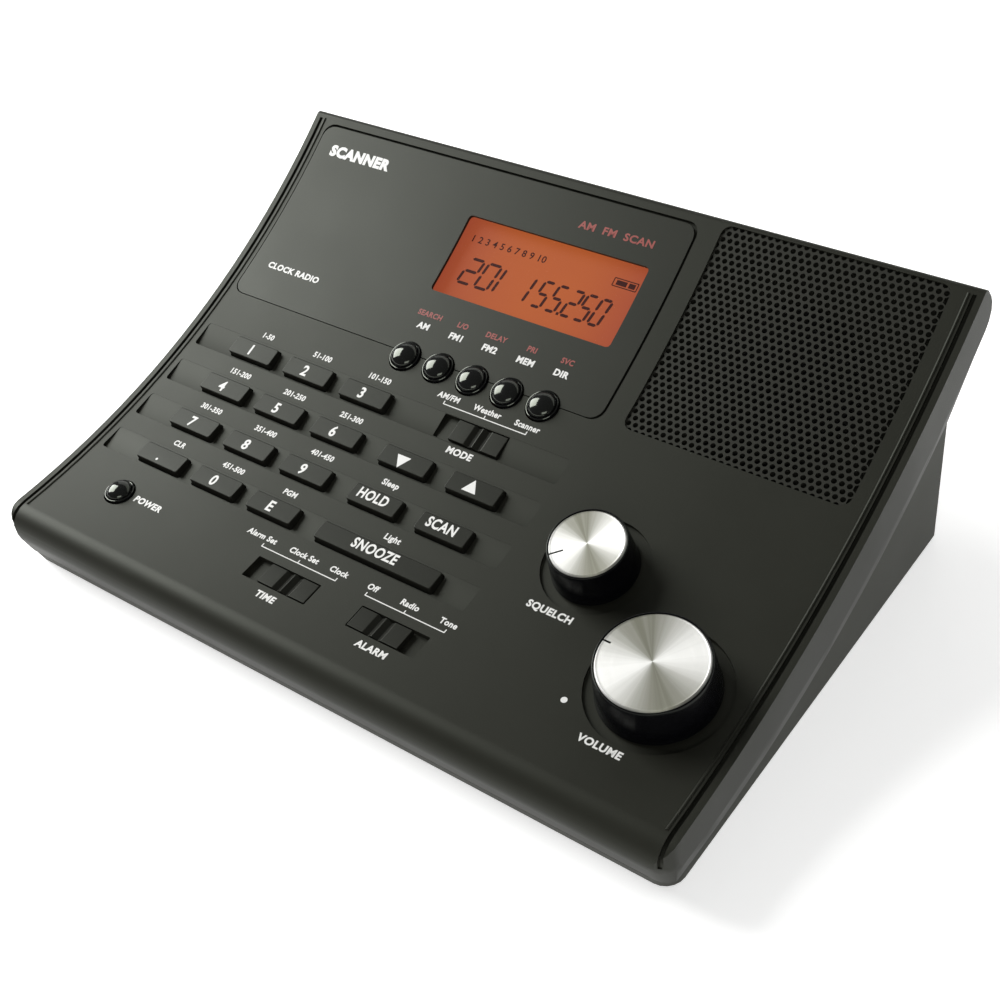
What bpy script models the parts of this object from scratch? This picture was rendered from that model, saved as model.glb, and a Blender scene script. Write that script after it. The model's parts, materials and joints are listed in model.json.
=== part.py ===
"""A desktop clock radio with a scanner receiver, as an assembly of separate solids.

Metres, +Z up. The radio faces -Y and stands on four rubber feet at Z = 0, centred on the origin.
The face is a hollow curve, an arc whose axis runs along X above the radio. A place on the face is
given by its x and its station, which is the length along the arc from above the front edge.
"""

import math

import bmesh
import bpy
from mathutils import Matrix, Vector

# ---------------------------------------------------------------- the case
WIDTH = 0.235                       # over the two cheeks
BASE_DEPTH = 0.1435                 # front bottom edge to rear wall
FRONT_HEIGHT = 0.0198               # underside to face, above the front bottom edge
FACE_RADIUS = 0.2734
FRONT_TILT = math.radians(2.06)     # slope of the face above the front edge
OVERHANG = 0.0195                   # how far the rear end of the face stands behind the rear wall
NOSE_RADIUS = 0.0071
NOSE_TILT = math.radians(2.6)
REAR_TOP_RADIUS = 0.0016
REAR_BOTTOM_RADIUS = 0.0075
REAR_THICKNESS = 0.0124             # the end of the overhang, across the slope
REAR_BULGE = 0.0053                 # rearmost point of that end, behind its upper corner
UNDERSIDE_TILT = math.radians(46)   # slope of the overhang's straight underside
WALL = 0.0025
SEAM_RADIUS = 0.2436                # side-view arc where the two halves of the case meet
CHEEK_RADIUS = 0.2386               # side-view arc where a cheek starts to lean in to the seam
SEAM_SHIFT = (0.0201, -0.0451)      # the seam arcs' centre from the face arc's centre
CHEEK_LEAN = 0.0009
BASE_INSET = 0.0015                 # base side wall from the cheek
CORNER_RADIUS = 0.0055              # front corners, seen from above
FLOOR = 0.0024
CLEAR = 0.0003                      # gap between pieces that touch
FACE_STEPS = 22

# ---------------------------------------------------------------- the face
GROOVE_INSET = 0.0025               # groove's middle from the side
GROOVE_WIDTH = 0.0012
GROOVE_DEPTH = 0.0012
TROUGH_LEFT = -0.4715 * WIDTH
TROUGH_RIGHT = 0.1362 * WIDTH
TROUGH_DEPTH = 0.0006
TROUGH_HEIGHT = 0.0087

KEY_WIDTH = 0.0176
KEY_HEIGHT = 0.0063
KEY_PROUD = 0.0015
KEY_CORNER = 0.0009
KEY_EDGE = 0.0004
KEY_GAP = 0.00035
KEY_TRAVEL = 0.0012
LIP = 0.0008                        # retaining flange round a key, under the face
LIP_THICKNESS = 0.0009
STEM = (0.0024, 0.0014)             # half sizes of a key's stem
ROW_FIRST = 0.0366                  # station of the lowest row of keys
ROW_PITCH = 0.01534
COLUMN_FIRST = -0.370 * WIDTH
COLUMN_PITCH = 0.0990 * WIDTH
FOURTH_COLUMN = -0.0579 * WIDTH
FIFTH_COLUMN = 0.0487 * WIDTH

PANEL_LEFT = -0.4732 * WIDTH
PANEL_RIGHT = 0.1404 * WIDTH
PANEL_STATIONS = (0.1009, 0.1666)
PANEL_THICKNESS = 0.0011
PANEL_CORNER = 0.004
DISPLAY_X = -0.0391 * WIDTH
DISPLAY_STATION = 0.1366
DISPLAY_SIZE = (0.066, 0.0271)
DISPLAY_CORNER = 0.0012
WINDOW_MARGIN = 0.0013
WINDOW_THICKNESS = 0.001
GLASS_SIZE = (0.072, 0.034, 0.002)
BACKLIGHT_THICKNESS = 0.003

BAND_X = -0.0474 * WIDTH            # middle of the row of five
BAND_PITCH = 0.0128
BAND_STATION = 0.0994
BAND_RADIUS = 0.005
POWER_X = -0.3838 * WIDTH
POWER_STATION = 0.0202
POWER_RADIUS = 0.0046
DOME_PROUD = 0.0026
DOME_GAP = 0.0004

SLOT_SIZE = (0.0236, 0.0078)
SLOT_DEPTH = 0.0017
SLIDER_LENGTH = 0.0176
SLIDER_PROUD = 0.0004
SLIDER_PITCH = 0.0027               # one of the three positions to the next
SLIDER_STEM = (0.002, 0.0012)
SWITCH_SIZE = (0.023, 0.0075)
SWITCH_DROP = 0.0022                # under the face wall
MODE_PLACE = (-0.0034 * WIDTH, 0.0829)
TIME_PLACE = (-0.0889 * WIDTH, 0.0173)
ALARM_PLACE = (0.0753 * WIDTH, 0.0173)

VOLUME_PLACE = (0.3866 * WIDTH, 0.0356)
VOLUME_RADIUS = 0.0144
SQUELCH_PLACE = (0.2405 * WIDTH, 0.0603)
SQUELCH_RADIUS = 0.01045
KNOB_HEIGHTS = (0.0120, 0.0112)     # volume, squelch: top above the face
KNOB_RIM = 0.0006                   # black rim round the turned disc
KNOB_FLARE = 0.0012                 # how much wider the skirt is at its foot
KNOB_LIFT = 0.0006                  # skirt's foot above its dish
DISH_MARGIN = 0.0030
DISH_DEPTH = 0.0008
CAP_THICKNESS = 0.0012
SHAFT_RADIUS = 0.003
SHAFT_DEPTH_IN_POT = 0.0026
POT_RADIUS = 0.0085

GRILLE_X = 0.3168 * WIDTH
GRILLE_WIDTH = 0.0684
GRILLE_STATIONS = (0.1020, 0.1684)
GRILLE_DROP = 0.0005
GRILLE_THICKNESS = 0.0012
GRILLE_CORNER = 0.003

# ---------------------------------------------------------------- inside
SPEAKER_STATION = 0.1276
SPEAKER_RADIUS = 0.0285
SPEAKER_OPENING = 0.0255
SPEAKER_DEPTH = 0.0140
MAGNET_RADIUS = 0.011
CONE_THICKNESS = 0.0005

BOARD_STATIONS = (0.012, 0.104)
BOARD_DEPTH = 0.0125                # under the face at both of those stations
BOARD_HALF_WIDTH = WIDTH / 2 - 0.0155
BOARD_THICKNESS = 0.0016
MAT_STATIONS = (0.0135, 0.1035)
MAT_LEFT = TROUGH_LEFT + 0.0085
MAT_RIGHT = TROUGH_RIGHT + 0.002
MAT_THICKNESS = 0.0009
DOME_HEIGHT = 0.0012
DOME_RADIUS = 0.0024
MAIN_BOARD = (0.036, 0.100)         # from and to, in y
MAIN_BOARD_HEIGHT = 0.006

# ---------------------------------------------------------------- underneath and behind
FOOT_RADIUS = 0.006
FOOT_PROUD = 0.0008
FOOT_POCKET = 0.0012
FOOT_INSET = (0.0235, 0.014)
SCREW_INSET = (0.009, 0.012, 0.0255)   # from the side, from the front edge, from the rear wall
BOSS_RADIUS = 0.0045
BOSS_HEIGHT = 0.008
POST_RADIUS = 0.0036
SCREW_HEAD_RADIUS = 0.0029
SCREW_HEAD_HEIGHT = 0.002
SCREW_SHANK_RADIUS = 0.0014
SCREW_TOP = 0.0142
COUNTERBORE = 0.005
BATTERY_X = -0.234 * WIDTH
BATTERY_SIZE = (0.054, 0.028, 0.019)
BATTERY_WALL = 0.0035
DOOR_MARGIN = 0.002
DOOR_THICKNESS = 0.002
ANTENNA_PLACE = (0.264 * WIDTH, 0.020)
ANTENNA_RADIUS = 0.00485
ANTENNA_LENGTH = 0.011
POWER_PLACE = (0.374 * WIDTH, 0.014)
POWER_INLET_RADIUS = 0.0054

# ---------------------------------------------------------------- worked out from those
FACE_CENTRE = (-FACE_RADIUS * math.sin(FRONT_TILT),
               FRONT_HEIGHT + FACE_RADIUS * math.cos(FRONT_TILT))
SEAM_CENTRE = (FACE_CENTRE[0] + SEAM_SHIFT[0], FACE_CENTRE[1] + SEAM_SHIFT[1])
BACK_TILT = math.asin((BASE_DEPTH + OVERHANG - REAR_BULGE - FACE_CENTRE[0]) / FACE_RADIUS)
HALF = WIDTH / 2
BASE_HALF = HALF - BASE_INSET


def clear_scene():
    """Removes the objects of the scene that the script starts in."""
    for obj in list(bpy.data.objects):
        bpy.data.objects.remove(obj, do_unlink=True)


def collection(name, hidden=False):
    made = bpy.data.collections.new(name)
    bpy.context.scene.collection.children.link(made)
    made.hide_render = hidden
    return made


clear_scene()
RADIO = collection("desktop_scanner_radio")
CUTTERS = collection("cutters", hidden=True)


# ================================================================ side-view geometry
def polar(centre, radius, angle):
    """The side-view point (y, z) at this angle from +Y on a circle."""
    return (centre[0] + radius * math.cos(angle), centre[1] + radius * math.sin(angle))


def arc(centre, radius, start, end, steps):
    return [polar(centre, radius, start + (end - start) * i / steps) for i in range(steps + 1)]


def face_angle(tilt):
    return tilt - math.pi / 2


def meet(start, end, centre, radius):
    """Where the line from start to end crosses a circle, the crossing nearer to the end."""
    along = Vector(end) - Vector(start)
    out = Vector(start) - Vector(centre)
    a, b, c = along.dot(along), 2 * along.dot(out), out.dot(out) - radius ** 2
    share = (-b + math.sqrt(b * b - 4 * a * c)) / (2 * a)
    return tuple(Vector(start) + along * share)


def fillet(corner, back, onward, radius, steps):
    """Points round a corner whose two sides leave along the unit vectors back and onward."""
    half_angle = back.angle(onward) / 2
    middle = Vector(corner) + (back + onward).normalized() * radius / math.sin(half_angle)
    reach = radius / math.tan(half_angle)
    first = Vector(corner) + back * reach - middle
    last = Vector(corner) + onward * reach - middle
    start = math.atan2(first.y, first.x)
    turn = math.remainder(math.atan2(last.y, last.x) - start, 2 * math.pi)
    return arc(middle, radius, start, start + turn, steps), reach


def nose_centre():
    reach = FACE_RADIUS + NOSE_RADIUS
    return polar(FACE_CENTRE, reach, face_angle(NOSE_TILT))


def nose_start():
    """The angle on the nose where the front slope, up from the front bottom edge, touches it."""
    centre = Vector(nose_centre())
    lift = math.atan2(centre.y, centre.x) + math.asin(NOSE_RADIUS / centre.length)
    return lift + math.pi / 2


def front_slope(inset=0.0):
    """Two points of the front slope, the lower one far below, the upper one on the nose."""
    angle = nose_start()
    top = Vector(polar(nose_centre(), NOSE_RADIUS - inset, angle))
    down = Vector((-math.sin(angle), math.cos(angle)))
    return tuple(top + down * 0.06), tuple(top)


def rear_end():
    """The overhang's upper and lower corners, the way down its end and the way up its slopes."""
    down = Vector((math.sin(BACK_TILT), -math.cos(BACK_TILT)))
    up = Vector((math.cos(UNDERSIDE_TILT), math.sin(UNDERSIDE_TILT)))
    top = Vector(polar(FACE_CENTRE, FACE_RADIUS, face_angle(BACK_TILT)))
    return top, top + down * REAR_THICKNESS, down, up


def circle_angle(point, centre):
    return math.atan2(point[1] - centre[1], point[0] - centre[0])


def slab_outline(cheek=False):
    """Side view of the upper half: front slope, nose, face, rounded rear end and underside.

    A cheek's underside is one arc. Further in, the seam's arc runs into a straight slope.
    """
    lower_radius = CHEEK_RADIUS if cheek else SEAM_RADIUS
    low, high = front_slope()
    start = meet(high, low, SEAM_CENTRE, lower_radius)
    front_angle = circle_angle(start, SEAM_CENTRE)
    nose = arc(nose_centre(), NOSE_RADIUS, nose_start(), face_angle(NOSE_TILT) + math.pi, 6)
    top, bottom, inward, up = rear_end()
    uphill = Vector((math.cos(BACK_TILT), math.sin(BACK_TILT)))
    top_round, reach = fillet(top, -uphill, inward, REAR_TOP_RADIUS, 4)
    face = arc(FACE_CENTRE, FACE_RADIUS, face_angle(NOSE_TILT),
               face_angle(BACK_TILT - reach / FACE_RADIUS), FACE_STEPS)
    upper = nose[:-1] + face[:-1] + top_round
    if cheek:
        bottom = meet(top, top + inward * 0.05, SEAM_CENTRE, lower_radius)
        angle = circle_angle(bottom, SEAM_CENTRE)
        downhill = Vector((math.sin(angle), -math.cos(angle)))
        bottom_round, reach = fillet(bottom, -inward, downhill, REAR_BOTTOM_RADIUS, 4)
        angle -= reach / lower_radius
        return upper + bottom_round + arc(SEAM_CENTRE, lower_radius, angle, front_angle,
                                          FACE_STEPS)[1:]
    bottom_round, reach = fillet(bottom, -inward, -up, REAR_BOTTOM_RADIUS, 4)
    angle = circle_angle(meet(bottom, bottom - up * 0.05, SEAM_CENTRE, lower_radius), SEAM_CENTRE)
    return upper + bottom_round + arc(SEAM_CENTRE, lower_radius, angle, front_angle,
                                      FACE_STEPS - 1)


SLAB = slab_outline()
MIDDLE_Y = (min(y for y, z in SLAB) + max(y for y, z in SLAB)) / 2


def station_tilt(station):
    return FRONT_TILT + station / FACE_RADIUS


def face_point(station, depth=0.0):
    return polar(FACE_CENTRE, FACE_RADIUS + depth, face_angle(station_tilt(station)))


def on_face(place):
    """The frame of a place on the face: X across, Y up the slope, Z out of the face."""
    x, station = place
    y, z = face_point(station)
    return Matrix.Translation((x, y, z)) @ Matrix.Rotation(station_tilt(station), 4, "X")


def front_corners(name, half):
    """A cutter that rounds both front corners, leaning with the front slope up to the nose."""
    slope_top = front_slope()[1]
    lean = slope_top[0] / slope_top[1]
    nose = nose_centre()[0] - NOSE_RADIUS
    levels = ((-0.004, -0.004 * lean), (slope_top[1], slope_top[0]), (slope_top[1] + 0.002, nose),
              (0.04, nose))
    bm = bmesh.new()
    for side in (-1, 1):
        rings = []
        for z, front in levels:
            centre = (half - CORNER_RADIUS, front + CORNER_RADIUS)
            plan = arc(centre, CORNER_RADIUS, 0.0, -math.pi / 2, 5)
            plan += [(half - CORNER_RADIUS, front - 0.004), (half + 0.004, front - 0.004),
                     (half + 0.004, front + CORNER_RADIUS)]
            rings.append([(side * x, y, z) for x, y in plan])
        loft(bm, rings)
    return to_mesh(name, bm)


def seam_height(y, gap):
    """Height of the seam over this y."""
    radius = SEAM_RADIUS + gap
    return SEAM_CENTRE[1] - math.sqrt(radius ** 2 - (y - SEAM_CENTRE[0]) ** 2)


# ================================================================ materials
def material(name, colour, roughness, metallic=0.0):
    made = bpy.data.materials.new(name)
    made.use_nodes = True
    shader = made.node_tree.nodes["Principled BSDF"]
    shader.inputs["Base Color"].default_value = (*colour, 1.0)
    shader.inputs["Roughness"].default_value = roughness
    shader.inputs["Metallic"].default_value = metallic
    made.diffuse_color = (*colour, 1.0)
    return made


CASE = material("case_plastic", (0.045, 0.045, 0.038), 0.55)
KEYS = material("key_plastic", (0.036, 0.036, 0.031), 0.45)
GLOSS = material("gloss_plastic", (0.008, 0.008, 0.008), 0.12)
KNOB = material("knob_plastic", (0.012, 0.012, 0.014), 0.35)
TURNED = material("turned_aluminium", (0.82, 0.82, 0.78), 0.28, 1.0)
CLEAR_LENS = material("clear_lens", (0.75, 0.32, 0.16), 0.08)
LCD = material("display_glass", (0.55, 0.19, 0.07), 0.2)
LIGHT_GUIDE = material("light_guide", (0.9, 0.62, 0.4), 0.4)
MESH_BLACK = material("grille_plastic", (0.03, 0.03, 0.027), 0.6)
STEEL = material("plated_steel", (0.55, 0.55, 0.55), 0.35, 1.0)
PAPER = material("cone_paper", (0.05, 0.05, 0.05), 0.9)
BOARD = material("circuit_board", (0.05, 0.2, 0.08), 0.5)
SILICONE = material("silicone", (0.35, 0.35, 0.35), 0.7)
SWITCH = material("switch_plastic", (0.1, 0.1, 0.1), 0.5)
RUBBER = material("foot_rubber", (0.03, 0.03, 0.03), 0.85)
BRASS = material("plated_brass", (0.75, 0.68, 0.5), 0.3, 1.0)


# ================================================================ objects and meshes
ROOT = bpy.data.objects.new("radio_origin", None)
ROOT.location = (0.0, -MIDDLE_Y, FOOT_PROUD)
RADIO.objects.link(ROOT)


def add(name, mesh, finish, frame=None):
    """A piece of the radio, placed in the case's own frame."""
    obj = bpy.data.objects.new(name, mesh)
    mesh.materials.append(finish)
    obj.parent = ROOT
    obj.matrix_basis = frame or Matrix()
    RADIO.objects.link(obj)
    return obj


def add_cutter(name, mesh, frame=None):
    obj = bpy.data.objects.new(name, mesh)
    obj.parent = ROOT
    obj.matrix_basis = frame or Matrix()
    obj.hide_render = True
    obj.display_type = "WIRE"
    CUTTERS.objects.link(obj)
    return obj


def combine(obj, other, operation="DIFFERENCE"):
    step = obj.modifiers.new(other.name, "BOOLEAN")
    step.operation = operation
    step.object = other
    return step


def to_mesh(name, bm):
    bmesh.ops.recalc_face_normals(bm, faces=bm.faces)
    mesh = bpy.data.meshes.new(name)
    bm.to_mesh(mesh)
    bm.free()
    return mesh


def loft(bm, rings):
    """Joins closed rings of points, one after the other, and closes both ends."""
    verts = [[bm.verts.new(point) for point in ring] for ring in rings]
    for ring, following in zip(verts, verts[1:]):
        for i, corner in enumerate(ring):
            j = (i + 1) % len(ring)
            bm.faces.new((corner, ring[j], following[j], following[i]))
    bm.faces.new(verts[0])
    bm.faces.new(verts[-1])


def side_loft(name, sections):
    """A solid from side-view outlines, each at its own x."""
    bm = bmesh.new()
    loft(bm, [[(x, y, z) for y, z in outline] for x, outline in sections])
    return to_mesh(name, bm)


def prism(name, outline, left, right):
    return side_loft(name, ((left, outline), (right, outline)))


def ring_outline(half_x, half_y, radius, z, steps=2):
    """A rectangle with round corners, seen along Z."""
    points = []
    for corner, (sx, sy) in enumerate(((1, 1), (-1, 1), (-1, -1), (1, -1))):
        for step in range(steps + 1):
            angle = math.pi / 2 * (corner + step / steps)
            points.append((sx * (half_x - radius) + radius * math.cos(angle),
                           sy * (half_y - radius) + radius * math.sin(angle), z))
    return points


def block(name, levels):
    """A block built up in levels of (half width, half height, corner radius, z)."""
    bm = bmesh.new()
    loft(bm, [ring_outline(*level) for level in levels])
    return to_mesh(name, bm)


def blocks(name, parts):
    """Several blocks in one mesh, each in its own frame: (frame, levels)."""
    bm = bmesh.new()
    for frame, levels in parts:
        loft(bm, [[frame @ Vector(point) for point in ring_outline(*level)] for level in levels])
    return to_mesh(name, bm)


def drums(name, parts, sides=32):
    """Several plain cylinders in one mesh: (frame, radius, low z, high z)."""
    bm = bmesh.new()
    for frame, radius, low, high in parts:
        place = frame @ Matrix.Translation((0, 0, (low + high) / 2))
        bmesh.ops.create_cone(bm, cap_ends=True, segments=sides, radius1=radius,
                              radius2=radius, depth=high - low, matrix=place)
    return to_mesh(name, bm)


def turned(name, profile, finish, frame=None, steps=32, closed=False):
    """A turned piece: a profile of (radius, z), listed down its outer side, and a Screw."""
    mesh = bpy.data.meshes.new(name)
    points = [(radius, 0.0, z) for radius, z in profile]
    edges = [(i, i + 1) for i in range(len(points) - 1)]
    if closed:
        edges.append((len(points) - 1, 0))
    mesh.from_pydata(points, edges, [])
    obj = add(name, mesh, finish, frame)
    screw = obj.modifiers.new("turn", "SCREW")
    screw.steps = steps
    screw.render_steps = steps
    screw.use_merge_vertices = True
    screw.merge_threshold = 0.00001
    screw.use_smooth_shade = True
    return obj


def arc_slab(name, left, right, stations, top, bottom, corner=0.0, steps=10):
    """A curved plate that follows the face, from top to bottom in depth under it."""
    start, end = (face_angle(station_tilt(station)) for station in stations)
    upper = arc(FACE_CENTRE, FACE_RADIUS + top, start, end, steps)
    lower = arc(FACE_CENTRE, FACE_RADIUS + bottom, end, start, steps)
    mesh = prism(name, upper + lower, left, right)
    if corner == 0.0:
        return mesh
    bm = bmesh.new()
    bm.from_mesh(mesh)
    ends = {round(y, 6) for y, z in (upper[0], upper[-1], lower[0], lower[-1])}
    corners = [edge for edge in bm.edges
               if abs(edge.verts[0].co.x - edge.verts[1].co.x) < 1e-6
               and abs(edge.calc_length() - (bottom - top)) < 1e-5
               and all(round(vert.co.y, 6) in ends for vert in edge.verts)]
    bmesh.ops.bevel(bm, geom=corners, offset=corner, segments=4, profile=0.5,
                    affect="EDGES", material=-1)
    bm.to_mesh(mesh)
    bm.free()
    return mesh


# ================================================================ layout of the controls
def row_station(row):
    return ROW_FIRST + ROW_PITCH * row


def key_places():
    """Name, x, station and width of every key, lowest row first."""
    names = (("key_dot", "key_0", "key_enter"), ("key_7", "key_8", "key_9"),
             ("key_4", "key_5", "key_6"), ("key_1", "key_2", "key_3"))
    places = [(name, COLUMN_FIRST + COLUMN_PITCH * column, row_station(row), KEY_WIDTH)
              for row, line in enumerate(names) for column, name in enumerate(line)]
    snooze_width = FIFTH_COLUMN - FOURTH_COLUMN + KEY_WIDTH
    places += [("key_down", FOURTH_COLUMN, row_station(2), KEY_WIDTH),
               ("key_up", FIFTH_COLUMN, row_station(2), KEY_WIDTH),
               ("key_hold", FOURTH_COLUMN, row_station(1), KEY_WIDTH),
               ("key_scan", FIFTH_COLUMN, row_station(1), KEY_WIDTH),
               ("key_snooze", (FOURTH_COLUMN + FIFTH_COLUMN) / 2, row_station(0), snooze_width)]
    return places


def button_places():
    """Name, place and radius of every round button."""
    places = [(f"band_button_{i + 1}", (BAND_X + BAND_PITCH * (i - 2), BAND_STATION), BAND_RADIUS)
              for i in range(5)]
    return places + [("power_button", (POWER_X, POWER_STATION), POWER_RADIUS)]


SLIDERS = (("mode", MODE_PLACE, 1), ("time", TIME_PLACE, 1), ("alarm", ALARM_PLACE, -1))
KNOBS = (("volume", VOLUME_PLACE, VOLUME_RADIUS, KNOB_HEIGHTS[0]),
         ("squelch", SQUELCH_PLACE, SQUELCH_RADIUS, KNOB_HEIGHTS[1]))


def slider_place(place, end):
    """The slide cap rests at one end of its travel of two steps."""
    return (place[0] + end * SLIDER_PITCH, place[1])


def board_frame():
    """The key board's frame: its origin midway, Z out of its top, under the curved face."""
    front = Vector((0.0, *face_point(BOARD_STATIONS[0], BOARD_DEPTH)))
    back = Vector((0.0, *face_point(BOARD_STATIONS[1], BOARD_DEPTH)))
    slope = back - front
    return (Matrix.Translation((front + back) / 2)
            @ Matrix.Rotation(math.atan2(slope.z, slope.y), 4, "X")), slope.length


BOARD_FRAME, BOARD_SPAN = board_frame()


def drop_to_board(place, height, half_size):
    """The z, in a place's frame, that keeps a stem of this half size above the board."""
    frame = on_face(place)
    normal = (BOARD_FRAME.to_3x3() @ Vector((0, 0, 1)))
    axis = frame.to_3x3() @ Vector((0, 0, 1))
    above = normal.dot(frame.translation - BOARD_FRAME.translation)
    lean = axis.angle(normal)
    return (height + half_size * math.sin(lean) - above) / math.cos(lean)


def screw_places():
    x = HALF - SCREW_INSET[0]
    front, rear = SCREW_INSET[1], BASE_DEPTH - SCREW_INSET[2]
    return [(side * x, y) for y in (front, rear) for side in (-1, 1)]


def foot_places():
    x = HALF - FOOT_INSET[0]
    front, rear = FOOT_INSET[1], BASE_DEPTH - FOOT_INSET[1]
    return [("foot_front_left", -x, front), ("foot_front_right", x, front),
            ("foot_rear_left", -x, rear), ("foot_rear_right", x, rear)]


# ================================================================ the case
def inner_slope(z):
    """The y of the front wall's inner side at this height."""
    low, high = (Vector(point) for point in front_slope(WALL))
    share = (z - low.y) / (high.y - low.y)
    return low.x + (high.x - low.x) * share


def shell_cavity():
    """The hollow of the upper half, open downwards in front of the rear wall."""
    nose = arc(nose_centre(), NOSE_RADIUS - WALL, nose_start(), face_angle(NOSE_TILT) + math.pi, 5)
    top, bottom, inward, up = rear_end()
    end_tilt = BACK_TILT - 1.5 * WALL / FACE_RADIUS
    face = arc(FACE_CENTRE, FACE_RADIUS + WALL, face_angle(NOSE_TILT), face_angle(end_tilt),
               FACE_STEPS)
    ledge = bottom + Vector((-up.y, up.x)) * WALL
    corner = ledge - up * 1.5 * WALL
    rear = BASE_DEPTH - WALL
    foot = ledge - up * (ledge.x - rear) / up.x
    below = -0.005
    return nose[:-1] + face + [tuple(corner), tuple(foot), (rear, below),
                               (inner_slope(below), below)]


def groove_outline():
    """Side view of the groove cutter, which follows the nose and the face."""
    above, nose_turn = 0.001, math.radians(178)
    start = face_angle(NOSE_TILT) + math.pi
    end = face_angle(BACK_TILT - 1.6 * REAR_TOP_RADIUS / FACE_RADIUS)
    outer = arc(nose_centre(), NOSE_RADIUS + above, nose_turn, start, 5)
    outer += arc(FACE_CENTRE, FACE_RADIUS - above, face_angle(NOSE_TILT), end, FACE_STEPS)[1:]
    inner = arc(FACE_CENTRE, FACE_RADIUS + GROOVE_DEPTH, end, face_angle(NOSE_TILT), FACE_STEPS)
    inner += arc(nose_centre(), NOSE_RADIUS - GROOVE_DEPTH, start, nose_turn, 5)[1:]
    return outer + inner


def trough_parts():
    """The four key troughs and the two knob dishes, cut into the face."""
    middle, half = (TROUGH_LEFT + TROUGH_RIGHT) / 2, (TROUGH_RIGHT - TROUGH_LEFT) / 2
    return [(on_face((middle, row_station(row))),
             ((half, TROUGH_HEIGHT / 2, KEY_CORNER, -TROUGH_DEPTH),
              (half, TROUGH_HEIGHT / 2, KEY_CORNER, 0.002))) for row in range(4)]


def opening_parts():
    """Every straight-sided opening through the face: keys, slide slots and their slits."""
    through, over = -WALL - 0.001, 0.002
    parts = []
    for name, x, station, width in key_places():
        half_x, half_y = width / 2 + KEY_GAP, KEY_HEIGHT / 2 + KEY_GAP
        parts.append((on_face((x, station)), ((half_x, half_y, KEY_CORNER, through),
                                              (half_x, half_y, KEY_CORNER, over))))
    for name, place, end in SLIDERS:
        slit_x = SLIDER_STEM[0] + SLIDER_PITCH + CLEAR
        slit_y = SLIDER_STEM[1] + CLEAR
        half_x, half_y = SLOT_SIZE[0] / 2, SLOT_SIZE[1] / 2
        corner = 0.0003
        parts.append((on_face(place), ((slit_x, slit_y, corner, through),
                                       (slit_x, slit_y, corner, -SLOT_DEPTH),
                                       (half_x, half_y, corner, -SLOT_DEPTH),
                                       (half_x, half_y, corner, over))))
    half_x, half_y = (size / 2 + WINDOW_MARGIN + CLEAR for size in DISPLAY_SIZE)
    parts.append((on_face((DISPLAY_X, DISPLAY_STATION)),
                  ((half_x, half_y, DISPLAY_CORNER, through),
                   (half_x, half_y, DISPLAY_CORNER, over))))
    return parts


def button_holes(name, margin):
    through, over = -WALL - 0.001, 0.002
    return drums(name, [(on_face(place), radius + margin, through, over)
                        for title, place, radius in button_places()])


def make_face_shell():
    cheek = slab_outline(cheek=True)
    lean = HALF - CHEEK_LEAN
    mesh = side_loft("face_shell", ((-HALF, cheek), (-lean, SLAB), (lean, SLAB), (HALF, cheek)))
    shell = add("face_shell", mesh, CASE)
    inside = HALF - WALL
    combine(shell, add_cutter("shell_hollow", prism("shell_hollow", shell_cavity(),
                                                    -inside, inside)))
    combine(shell, add_cutter("shell_corners", front_corners("shell_corners", HALF)))
    posts = []
    for x, y in screw_places():
        touch = y - POST_RADIUS
        face_z = FACE_CENTRE[1] - math.sqrt(FACE_RADIUS ** 2 - (touch - FACE_CENTRE[0]) ** 2)
        posts.append((Matrix.Translation((x, y, 0)), POST_RADIUS, BOSS_HEIGHT + CLEAR,
                      face_z - 0.0008))
    combine(shell, add_cutter("screw_posts", drums("screw_posts", posts, 16)), "UNION")
    pilots = [(Matrix.Translation((x, y, 0)), SCREW_SHANK_RADIUS + CLEAR, 0.0,
               SCREW_TOP + CLEAR) for x, y in screw_places()]
    combine(shell, add_cutter("screw_pilots", drums("screw_pilots", pilots, 12)))
    for side in (-1, 1):
        middle = side * (HALF - GROOVE_INSET)
        name = "groove_left" if side < 0 else "groove_right"
        mesh = prism(name, groove_outline(), middle - GROOVE_WIDTH / 2, middle + GROOVE_WIDTH / 2)
        combine(shell, add_cutter(name, mesh))
    combine(shell, add_cutter("key_troughs", blocks("key_troughs", trough_parts())))
    dishes = [(on_face(place), radius + KNOB_RIM + KNOB_FLARE + DISH_MARGIN, -DISH_DEPTH, 0.004)
              for name, place, radius, height in KNOBS]
    combine(shell, add_cutter("knob_dishes", drums("knob_dishes", dishes, 40)))
    bores = [(on_face(place), SHAFT_RADIUS + 2 * CLEAR, -WALL - 0.001, 0.004)
             for name, place, radius, height in KNOBS]
    bores.append((on_face((GRILLE_X, SPEAKER_STATION)), SPEAKER_OPENING, -WALL - 0.001, 0.004))
    pocket_depth = PANEL_THICKNESS + CLEAR
    pocket = arc_slab("panel_pocket", PANEL_LEFT - CLEAR, PANEL_RIGHT + CLEAR,
                      (PANEL_STATIONS[0] - CLEAR, PANEL_STATIONS[1] + CLEAR),
                      -0.002, pocket_depth, PANEL_CORNER)
    combine(shell, add_cutter("panel_pocket", pocket))
    left, right = GRILLE_X - GRILLE_WIDTH / 2 - CLEAR, GRILLE_X + GRILLE_WIDTH / 2 + CLEAR
    recess = arc_slab("grille_pocket", left, right,
                      (GRILLE_STATIONS[0] - CLEAR, GRILLE_STATIONS[1] + CLEAR),
                      -0.002, GRILLE_DROP + GRILLE_THICKNESS + CLEAR, GRILLE_CORNER)
    combine(shell, add_cutter("grille_pocket", recess))
    combine(shell, add_cutter("face_bores", drums("face_bores", bores, 40)))
    combine(shell, add_cutter("face_openings", blocks("face_openings", opening_parts())))
    combine(shell, add_cutter("button_holes", button_holes("button_holes", DOME_GAP)))
    return shell


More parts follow.
